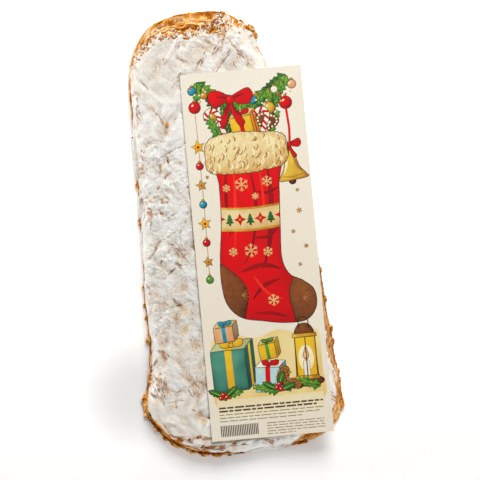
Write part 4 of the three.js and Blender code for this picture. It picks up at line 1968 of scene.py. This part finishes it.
    def _box(self, at: Stand, wide: float, high: float, faces: tuple[Inks, ...],
             band: Inks) -> None:
        """A parcel seen a little from above and from its right, tied crosswise.

        Args:
            at: its front's lower left corner, and how it leans.
            wide: the front's width.
            high: the front's height.
            faces: the inks of its front, top and side.
            band: the ribbon's ink.
        """
        back, up = np.array([0.24 * wide, 0.26 * wide]), np.array([0, high])
        corner = np.array([(0, 0), (wide, 0), (wide, high), (0, high)], float)
        left, right = (np.array([wide / 2 + side * 0.1 * wide, 0]) for side in (-1, 1))
        near, far = (np.array([wide, 0]) + share * back for share in (0.4, 0.64))
        shown = (
            (corner, (left, right, right + up, left + up)),
            ((corner[3], corner[2], corner[2] + back, corner[3] + back),
             (left + up, right + up, right + up + back, left + up + back)),
            ((corner[1], corner[1] + back, corner[2] + back, corner[2]),
             (near, far, far + up, near + up)))
        for (face, strip), ink in zip(shown, faces):
            self.add(at.put(self._dense(face)), ink, self.key)
            self.add(at.put(self._dense(strip)), band)
        knot = at.put([(wide / 2 + back[0] / 2, high + back[1] / 2)])[0]
        loop = np.array([(0, 0), (-0.2, 0.16), (-0.34, 0.12), (-0.3, -0.02), (-0.14, -0.06)]) * wide
        for flip in (1, -1):
            self.add(spline(Stand(*knot, at.turn).put(loop * [flip, 1])), band, self.key)
        self.add(oval(*knot, 0.06 * wide, 0.055 * wide), band, self.key)

    @staticmethod
    def _dense(corners: Points, step: float = 2.5) -> Points:
        """A straight-sided shape with points along its sides.

        Args:
            corners: its corners.
            step: about how far apart the points are.

        Returns:
            The points.
        """
        points = []
        for a, b in zip(np.array(corners), np.roll(corners, -1, axis=0)):
            stops = max(1, round(float(np.linalg.norm(b - a)) / step))
            points += [a + (b - a) * t for t in np.arange(stops) / stops]
        return np.array(points)

    def _heart(self, at: Stand) -> None:
        """A honey-cake heart with a piped border and a flower of icing.

        Args:
            at: where its middle is, how it leans and half its width.
        """
        angle = np.linspace(0, 2 * np.pi, 48, endpoint=False)
        height = 13 * np.cos(angle) - 5 * np.cos(2 * angle) - 2 * np.cos(3 * angle)
        outline = np.column_stack([16 * np.sin(angle) ** 3, height - np.cos(4 * angle)]) / 16
        self.add(at.put(outline), Inks.BROWN, self.key)
        petals = [Stand(0, -0.05, 72 * petal).put([(0, 0.22)])[0] for petal in range(5)]
        for dots, radius, ink in (
                (outline[::2] * 0.8, 0.085, Inks.WOOL_LIGHT), (petals, 0.13, Inks.WHITE),
                ([(0, -0.05)], 0.12, Inks.RED)):
            for dot in dots:
                self.add(oval(*at.put([dot])[0], radius * at.size), ink)

    def _stuffing(self) -> None:
        """What looks out of the stocking."""
        self._frond(Stand(-20, 92, 118), 22)
        self._frond(Stand(-14, 94, 98), 20, Inks.GREEN_DARK)
        self._cane(Stand(-14, 84, 14), 32)
        self._box(Stand(-9, 86, 9), 17, 20, (Inks.YELLOW, Inks.WOOL, Inks.YELLOW_SHADE), Inks.RED)
        self._frond(Stand(17, 90, 62), 21)
        self._heart(Stand(17, 101, -16, 9.5))
        self._cane(Stand(9, 82, -20), 30)

    def _stocking(self) -> None:
        """The red stocking, its folds, its woollen cuff, heel and toe."""
        leg = [(-25, 84), (-24, 55), (-25, 25), (-28, 0), (-29, -20), (-26, -38), (-16, -49),
               (0, -53), (18, -56), (34, -55), (42, -46), (42, -33), (34, -25), (24, -19),
               (19, -6), (20, 20), (22, 52), (24, 84)]
        body = self.add(spline(leg), Inks.RED, 0.6)
        for patch in ([(-34, -8), (-20, -14), (-10, -28), (-12, -44), (-20, -60), (-40, -50)],
                      [(50, -22), (30, -20), (23, -32), (24, -46), (30, -62), (52, -62)]):
            self.add(spline(patch), Inks.BROWN, 0.5, body)
        for points, width in (
                ([(14, 70), (15, 40), (11, 8), (4, -14)], 4.5),
                ([(-18, 70), (-20, 40), (-19, 14)], 2.6),
                ([(0, 68), (3, 40), (-2, 8), (-10, -8)], 2.4),
                ([(18, -14), (4, -10), (-14, -14)], 4.0), ([(16, -22), (4, -26), (-6, -36)], 3.4),
                ([(20, 20), (10, 12), (-2, 12)], 2.4), ([(22, 50), (12, 46), (4, 48)], 2.2),
                ([(-26, 24), (-16, 18), (-6, 22)], 2.2), ([(20, -52), (8, -48), (-6, -47)], 2.6)):
            self.line(points, Inks.RED_FOLD, 0.4, 0.4, width, body)
        for points, width in (
                ([(-12, 70), (-13, 42), (-15, 16), (-18, -4)], 2.6),
                ([(8, 64), (9, 40), (7, 18)], 2.0), ([(-4, -18), (6, -32), (18, -38)], 2.4)):
            self.line(points, Inks.RED_GLOW, 0.3, 0.3, width, body)
        self._knitted_band(29.0, body)
        for flake in rows(
                Stand, (-7, 54, 30, 5.5), (13, 55, 30, 4.2), (-19, 52, 30, 3.0), (-4, 2, 30, 5.4),
                (9, 0, 30, 3.8), (10, -38, 30, 4.6), (3, 44, 30, 2.6), (-18, 2, 30, 3.4)):
            self._flake(flake, body)
        for x, y in ((-14, -32), (33, -38)):
            for turn in (-50, -20, 10, 40):
                tip = Stand(x, y, turn).put([(0, 0), (6, 0)])
                self.add(ribbon(tip, 0.8, 0.2), Inks.BROWN_LIGHT, within=body)
        self._wool([(-31, 66), (-33, 78), (-30, 90), (-14, 95), (8, 94), (28, 91), (31, 80),
                    (28, 68), (10, 64), (-12, 63)])

    def _knitted_band(self, y: float, within: int) -> None:
        """A cream band with green firs and red stars between two gold edges.

        Args:
            y: the band's height.
            within: the number of the shape that it is cut to.
        """
        for level, width, ink in (
                (0, 17, Inks.WOOL), (8.5, 1.6, Inks.GOLD), (-8.5, 1.6, Inks.GOLD)):
            dip = [(-34, y + level), (-2, y + level - 2.5), (30, y + level)]
            self.line(dip, ink, width, width, width, within)
        fir = [(-1, -5), (1, -5), (1, -3), (4, -3), (1.8, 0), (3, 0), (1.2, 2.8), (2, 2.8), (0, 6)]
        fir += [(-a, b) for a, b in fir[-2:1:-1]]
        for i in range(7):
            x = -26.5 + 8.0 * i
            drop = y - 2.4 + 2.4 * ((x + 2) / 30) ** 2
            if i % 2:
                tree = Stand(x, drop - 0.5, 0, 0.85).put(fir)
                self.add(tree, Inks.GREEN_DARK, within=within)
            else:
                self.add(Stand(x, drop).put(star(4, 5.0, 2.2)), Inks.RED, within=within)
                self.add(oval(x, drop, 1.0), Inks.GOLD, within=within)

    def _flake(self, at: Stand, within: int) -> None:
        """A knitted snow star.

        Args:
            at: where its middle is, the turn of its first arm and how far an arm reaches.
            within: the number of the shape that it is cut to.
        """
        for arm in range(3):
            turned_arm = Stand(at.x, at.y, 60 * arm + at.turn)
            bar = turned_arm.put([(-at.size, 0), (at.size, 0)])
            self.add(ribbon(bar, 0.9, 0.9), Inks.WOOL, within=within)
            for sign, lean in itertools.product((-1, 1), (1, -1)):
                tick = [(sign * 0.55 * at.size, 0), (sign * 0.85 * at.size, lean * 0.3 * at.size)]
                self.add(ribbon(turned_arm.put(tick), 0.7, 0.5), Inks.WOOL, within=within)

    def _wool(self, outline: list[tuple[float, float]]) -> None:
        """A fleecy cuff of curls, light where they rise and brown between.

        Args:
            outline: the cuff's corners.
        """
        edge = spline(outline, step=1.0)
        ragged = edge + self.chance.normal(scale=0.35, size=edge.shape)
        cuff = self.add(ragged, Inks.WOOL, 0.5)
        low, high = edge.min(axis=0), edge.max(axis=0)
        for _ in range(self.curls):
            x, y = self.chance.uniform(low, high)
            at = Stand(x, y, self.chance.uniform(-120, -60), self.chance.uniform(0.7, 1.5))
            curl = at.put([(0, 0), (1.6, 0.9), (3.2, 0.3), (4.4, -0.8)])
            share = (y - low[1]) / (high[1] - low[1])
            dark = self.chance.random() < 0.7 - 0.5 * share
            strand = ribbon(
                spline(curl, closed=False, step=1.5), 0.2, 0.15, self.chance.uniform(0.6, 1.3))
            self.add(strand, Inks.WOOL_DARK if dark else Inks.WOOL_LIGHT, within=cuff)

    def _parcels(self) -> None:
        """Parcels on the ground at the left."""
        for spot, wide, high, faces, band in (
                ((-42, -106, 1.5), 27, 32, (Inks.TEAL, Inks.MINT, Inks.TEAL_SHADE), Inks.YELLOW),
                ((-38, -68, 4), 15, 12, (Inks.PINK, Inks.WOOL, Inks.BROWN_LIGHT), Inks.BLUE),
                ((-10, -108, -3), 19, 19, (Inks.BLUE_PALE, Inks.WHITE, Inks.BLUE), Inks.RED),
                ((-4, -84, 7), 13, 12, (Inks.YELLOW, Inks.WOOL, Inks.YELLOW_SHADE), Inks.GREEN)):
            self._box(Stand(*spot), wide, high, faces, band)

    def _lantern(self, at: Stand) -> None:
        """A tin lantern with a lit candle.

        Args:
            at: the middle of its foot.
        """
        x, y = at.x, at.y
        self.add(oval(x, y + 1, 12.5, 4.0), Inks.BROWN, self.key)
        self.add(spline(at.put([(-7, 37), (-4, 45), (4, 45), (7, 37)])), Inks.BROWN, self.key)
        self.line(at.put([(-4, 42), (-3, 50), (3, 50), (4, 42)]), Inks.KEY, 0.8, 0.8)
        panes = at.put([(-8.5, 3), (8.5, 3), (7.5, 36), (-7.5, 36)])
        body = self.add(self._dense(panes), Inks.YELLOW, self.key)
        self.add(oval(x, y + 19, 6.0, 10.0), Inks.WOOL_LIGHT, within=body)
        candle = at.put([(-2.4, 4), (2.4, 4), (2.2, 17), (-2.2, 17)])
        self.add(self._dense(candle), Inks.WHITE, 0.3, body)
        flame = [(0, 17.5), (-2.2, 20.5), (-1.2, 24), (0.3, 28), (1.5, 24), (2.1, 20.5)]
        self.add(spline(at.put(flame)), Inks.PINK, 0.3, body)
        self.add(oval(x, y + 21, 0.9, 2.0), Inks.WOOL_LIGHT)
        for bar in (-8.2, -0.2, 7.6):
            self.add(self._dense(at.put(self._bar(bar, 2, 0.9, 35))), Inks.BROWN)
        for level in (2.5, 35.5):
            rim = Stand(x, y + level).put([(-9.5, 0), (9.5, 0), (9.0, 2.6), (-9.0, 2.6)])
            self.add(self._dense(rim), Inks.GOLD, self.key)

    def _cone(self, at: Stand) -> None:
        """A pine cone with rows of scales.

        Args:
            at: where its middle is, how it leans and half its length.
        """
        self.add(at.put(oval(0, 0, 0.55, 1.0)), Inks.BROWN, self.key)
        scale = np.array([(-0.17, 0.1), (0, -0.16), (0.17, 0.1), (0, 0.2)])
        for row, column in itertools.product(range(6), range(3)):
            height = 0.72 - 0.28 * row
            reach = 0.5 * math.sqrt(max(0.1, 1 - height**2))
            spot = ((column - 1 + 0.5 * (row % 2) - 0.25) * reach * 0.8, height)
            self.add(at.put(scale + spot), Inks.BROWN_LIGHT, 0.25)

    def _holly(self, at: Stand) -> None:
        """A holly leaf with its rib.

        Args:
            at: where it grows from, the way it points and its size.
        """
        side = [(0, 0), (2, 2.0), (3, 1.4), (5, 3.2), (6, 2.2), (8.5, 3.4), (9.4, 2.0), (12, 2.2)]
        leaf = side + [(15, 0)] + [(a, -b) for a, b in side[:0:-1]]
        body = self.add(at.put(leaf), Inks.GREEN_DARK, self.key)
        self.add(ribbon(at.put([(0, 0), (13, 0)]), 0.8, 0.2), Inks.GREEN_GLOW, within=body)

    def _forest_floor(self) -> None:
        """Cones, holly and berries along the foot of the picture, and gold stars in the air."""
        for *spot, length in ((8, -108, 168, 20), (12, -106, 14, 20), (-38, -110, 12, 18),
                              (40, -107, 166, 16)):
            self._frond(Stand(*spot), length)
        for cone in rows(Stand, (12, -97, -24, 8.0), (21, -104, 60, 6.0)):
            self._cone(cone)
        for x, y, turn in (
                (6, -107, 150), (8, -105, 70), (10, -108, 20), (-36, -109, 155), (-34, -110, 40)):
            self._holly(Stand(x, y, turn, 0.8))
        for x, y in ((6.5, -106), (9.5, -107.5), (8.5, -103.5), (-35.5, -108), (-33, -110),
                     (-37.5, -110.5)):
            self.add(oval(x, y, 1.7), Inks.RED, 0.35)
            self.add(oval(x - 0.5, y + 0.5, 0.45, 0.4), Inks.WHITE)
        for x, y, size in ((36, 30, 2.6), (30, 14, 1.9), (39, 2, 2.2), (33, -12, 1.8),
                           (-33, 62, 1.6), (36, 46, 1.6)):
            self.add(Stand(x, y, 12).put(star(6, size, 0.35 * size)), Inks.GOLD, 0.3)

    def _captions(self) -> None:
        """Plain bars where small print and a code would stand."""
        for row, (end, thick) in enumerate(((41, 1.3), (36, 1.3), (41, 0.7), (39, 0.7), (24, 0.7))):
            ink = Inks.TEXT if thick > 1 else Inks.TEXT_PALE
            self._words(-40, end, -119 - 2.5 * row, thick, ink)
        for column in range(22):
            self.add(self._bar(-40 + 1.35 * column, -140.5, 0.75, 8.5), Inks.KEY)
        for row in range(5):
            self._words(-4, 41 if row < 4 else 18, -133 - 2.1 * row, 0.65, Inks.TEXT_PALE)

    def _words(self, start: float, end: float, y: float, thick: float, ink: Inks) -> None:
        """A row of short dashes of uneven length.

        Args:
            start: where the row starts.
            end: where it ends.
            y: its height on the card.
            thick: the dashes' thickness.
            ink: what they are printed in.
        """
        x = start
        while x < end - 1:
            run = min(self.chance.uniform(3.0, 8.0), end - x)
            self.add(self._bar(x, y, run, thick), ink)
            x += run + 1.0

    @staticmethod
    def _bar(x: float, y: float, wide: float, high: float) -> Points:
        """An upright oblong from its lower left corner."""
        return np.array([(x, y), (x + wide, y), (x + wide, y + high), (x, y + high)])


@dataclass
class PictureCard:
    """The long card on the glaze, printed on its face and plain behind."""

    thickness: float = 0.45
    turn: float = -2.75
    centre: tuple[float, float] = (26.0, -21.4)
    free_curl: float = 0.6
    rest_height: float = 20.3
    grid: float = 1.9
    grid_play: float = 0.3
    sharp_angle: float = 40.0
    seed: int = 3

    def build(self, shift: Points) -> bpy.types.Object:
        """Makes the printed face, thickens it and dresses it.

        Args:
            shift: from the loaf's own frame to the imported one.

        Returns:
            The card.
        """
        picture = FestivePrint()
        shapes = picture.draw()
        places, faces, owners = self._face_mesh(picture, shapes)
        across = 2 * places[:, 0] / picture.width
        curl = np.where(across < 0, 0.0, self.free_curl)
        top = self.rest_height + self.thickness + curl * across**2
        level = Stand(*self.centre, self.turn).put(places) + shift[:2]
        mesh = bpy.data.meshes.new("picture_card")
        mesh.from_pydata((np.column_stack([level, top]) * MM).tolist(), [], faces)
        colours = self._corner_colours(places, faces, owners, shapes)
        layer = mesh.color_attributes.new("ink", "FLOAT_COLOR", "CORNER")
        layer.data.foreach_set("color", colours.ravel())
        card = bpy.data.objects.new("picture_card", mesh)
        bpy.context.scene.collection.objects.link(card)
        make_active(card)
        for finish in (PrintedFace(), PlainBoard()):
            mesh.materials.append(finish.material)
        solidify = card.modifiers.new("board", "SOLIDIFY")
        solidify.thickness = self.thickness * MM
        solidify.offset = -1.0
        solidify.material_offset = 1
        solidify.material_offset_rim = 1
        bpy.ops.object.modifier_apply(modifier=solidify.name)
        bpy.ops.object.shade_smooth_by_angle(angle=math.radians(self.sharp_angle))
        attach(card, "root")
        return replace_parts(card, "card")

    def _face_mesh(self, picture: FestivePrint,
                   shapes: list[Shape]) -> tuple[Points, list, list]:
        """Cuts the card's face along every shape's outline.

        Args:
            picture: the drawing, for its size.
            shapes: what is printed, from back to front.

        Returns:
            The points, the triangles, and the number of the shape that shows on each triangle.
        """
        half, top = picture.width / 2, picture.length / 2
        points, loops = [], []
        for shape in shapes:
            inside = np.clip(shape.outline, [-half, -top], [half, top])
            loops.append(list(range(len(points), len(points) + len(inside))))
            points += inside.tolist()
        columns, lines = round(picture.width / self.grid), round(picture.length / self.grid)
        play = self.grid_play
        draw = np.random.default_rng(self.seed)
        for i, j in itertools.product(range(columns + 1), range(lines + 1)):
            spot = np.array([i / columns * 2 * half - half, j / lines * 2 * top - top])
            if 0 < i < columns and 0 < j < lines:
                spot += draw.uniform(-play, play, 2) * self.grid
            points.append(spot.tolist())
        cut = delaunay_2d_cdt([Vector(p) for p in points], [], loops, 0, 1e-5, True)
        owners = []
        for owned in cut[5]:
            holders = set(owned)
            seen = (i for i in holders if shapes[i].within is None or shapes[i].within in holders)
            owners.append(max(seen, default=0))
        return np.array([tuple(p) for p in cut[0]]), cut[2], owners

    def _corner_colours(self, places: Points, faces: list, owners: list,
                        shapes: list[Shape]) -> Points:
        """The ink at each corner of each triangle.

        Args:
            places: the face's points.
            faces: its triangles.
            owners: the number of the shape that shows on each.
            shapes: what is printed.

        Returns:
            Linear colours, one row for each corner.
        """
        noise = Noise(self.seed)
        corners = np.array(faces).ravel()
        owner_at = np.repeat(owners, 3)
        colours = np.ones((len(corners), 4), np.float32)
        deep = np.column_stack([places, np.zeros(len(places))])
        for number in np.unique(owner_at):
            chosen = owner_at == number
            spots = corners[chosen]
            shape, ink = shapes[number], shapes[number].ink.value
            heading = math.radians(ink.heading)
            way = np.array([math.cos(heading), math.sin(heading)])
            run = shape.outline @ way
            share = (places[spots] @ way - run.min()) / max(float(np.ptp(run)), 1e-3)
            tone = 0.75 * share
            if ink.edge:
                closed = tuple(tuple(p) for p in (*shape.outline, shape.outline[0]))
                gap = np.abs(signed_gap(places[spots], closed))
                tone += ink.edge * np.exp(-gap / ink.edge_width)
            tone += ink.clouds * noise.at(deep[spots] + 7.0 * number, ink.cloud_size)
            light, dark = (np.array(linear(c)) for c in (ink.light, ink.dark))
            colours[chosen] = light + (dark - light) * np.clip(tone, 0, 1)[:, None]
        return colours


# --- studio ---


@dataclass(frozen=True)
class Lamp:
    """A square lamp that looks at the origin: where it stands in metres, its power and size."""

    name: str
    place: tuple[float, float, float]
    power: float
    size: float


@dataclass
class Studio:
    """A white table that glows, one broad window of light and a camera looking down."""

    aim: tuple[float, float, float] = (14.7, -9.0, 8.0)
    distance: float = 3126.0
    lens: float = 300.0
    tilt: float = 4.0
    roll: float = -7.9
    floor_size: float = 6.0
    floor_drop: float = 0.0002
    floor_glow: tuple[tuple[float, float], ...] = ((8.0, 0.0), (62.0, 0.34))
    # Where the shadow painted on the floor is darkest, in the loaf's own frame.
    painted_shadow_centre: tuple[float, float, float] = (-80.0, -117.0, 0.0)
    foot_glow: tuple[tuple[float, float], ...] = ((-190.0, 0.24), (-60.0, 0.34))
    surroundings: float = 0.17
    lamps: tuple[Lamp, ...] = rows(
        Lamp, ("key", (0.49, 1.09, 1.4), 29.3, 0.9), ("rake", (0.35, 1.25, 0.5), 3.2, 0.4),
        ("left_fill", (-1.1, 0.15, 0.09), 6.6, 0.18), ("right_fill", (1.2, -0.2, 0.4), 1.0, 0.9),
        ("foot_fill", (0.3, -1.2, 0.14), 6.3, 0.5))

    def build(self, shift: Points) -> None:
        """Makes the floor, the lights and the camera.

        Args:
            shift: from the loaf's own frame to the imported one.
        """
        self._floor(shift)
        self._lights()
        self._camera(shift)
        view = bpy.context.scene.view_settings
        view.view_transform = "Standard"
        view.look = "None"

    def _floor(self, shift: Points) -> None:
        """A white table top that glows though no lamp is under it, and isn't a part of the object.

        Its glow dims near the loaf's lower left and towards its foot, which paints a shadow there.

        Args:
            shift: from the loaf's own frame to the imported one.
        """
        start_fresh()
        bpy.ops.mesh.primitive_plane_add(size=self.floor_size, location=(0, 0, -self.floor_drop))
        floor = bpy.context.object
        floor.name = "table"
        # A matt white table that glows, dimmed in places to paint a shadow.
        finish = Finish(
            "glowing_table", Base_Color="#F2F2F1", Roughness=0.9, Specular_IOR_Level=0.1,
            Emission_Color="#FFFFFF")
        place = finish.node("TexCoord", out="Object")
        centre = (np.array(self.painted_shadow_centre) + shift) * MM
        away = finish.node("VectorMath", place, centre, operation="DISTANCE")
        # Painted shadow: the glow is weaker near that centre and towards the loaf's foot.
        (near, near_glow), (far, far_glow) = self.floor_glow
        painted_shadow_pool = finish.node(
            "MapRange", away, near * MM, far * MM, near_glow, far_glow,
            interpolation_type="SMOOTHSTEP")
        (low, low_glow), (high, high_glow) = self.foot_glow
        y = finish.node("SeparateXYZ", place, out="Y")
        painted_foot_shadow = finish.node("MapRange", y, low * MM, high * MM, low_glow, high_glow)
        glow = finish.node("Math", painted_shadow_pool, painted_foot_shadow, operation="MINIMUM")
        finish.wire(finish.shader, Emission_Strength=glow)
        floor.data.materials.append(finish.material)

    def _lights(self) -> None:
        """A broad key light and a low raking one from the head, weak fills, a white world."""
        world = bpy.data.worlds.new("studio")
        bpy.context.scene.world = world
        world.use_nodes = True
        background = next(n for n in world.node_tree.nodes if n.type == "BACKGROUND")
        background.inputs["Color"].default_value = linear("#FFFBF6")
        background.inputs["Strength"].default_value = self.surroundings
        for lamp in self.lamps:
            start_fresh()
            bpy.ops.object.light_add(type="AREA", location=lamp.place)
            light = bpy.context.object
            light.name = lamp.name
            light.rotation_euler = (-Vector(lamp.place)).to_track_quat("-Z", "Y").to_euler()
            light.data.energy = lamp.power
            light.data.size = lamp.size

    def _camera(self, shift: Points) -> None:
        """A long lens above the loaf, tipped a little towards its foot.

        Args:
            shift: from the loaf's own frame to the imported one.
        """
        turn = Euler((math.radians(self.tilt), 0.0, math.radians(self.roll)))
        ahead = turn.to_matrix() @ Vector((0.0, 0.0, -1.0))
        aim = (Vector(self.aim) + Vector(shift)) * MM
        start_fresh()
        bpy.ops.object.camera_add(location=aim - ahead * self.distance * MM, rotation=turn)
        camera = bpy.context.object
        camera.name = "camera"
        camera.data.lens = self.lens
        bpy.context.scene.camera = camera


def main() -> None:
    """Builds the bread, its card and the studio, and reports each piece."""
    logging.basicConfig(level=logging.INFO, format="%(message)s")
    bread = Bread()
    pieces = bread.build()
    knobs = Beads("dough_knobs", RIM_BEADS, scattered=46, shape=bread.shape)
    pieces.append(knobs.build(bpy.data.materials["baked_honey_crust"], "crust"))
    crumbs = Beads("honey_crumbs", CRUMBS, scattered=0, shape=bread.shape)
    pieces.append(crumbs.build(HoneyCrumb().material, "crust"))
    pieces.append(PictureCard().build(bread.shape.shift))
    Studio().build(bread.shape.shift)
    for piece in pieces:
        LOG.info("%s: %d faces", piece.name, len(piece.data.polygons))


if __name__ == "__main__":
    main()
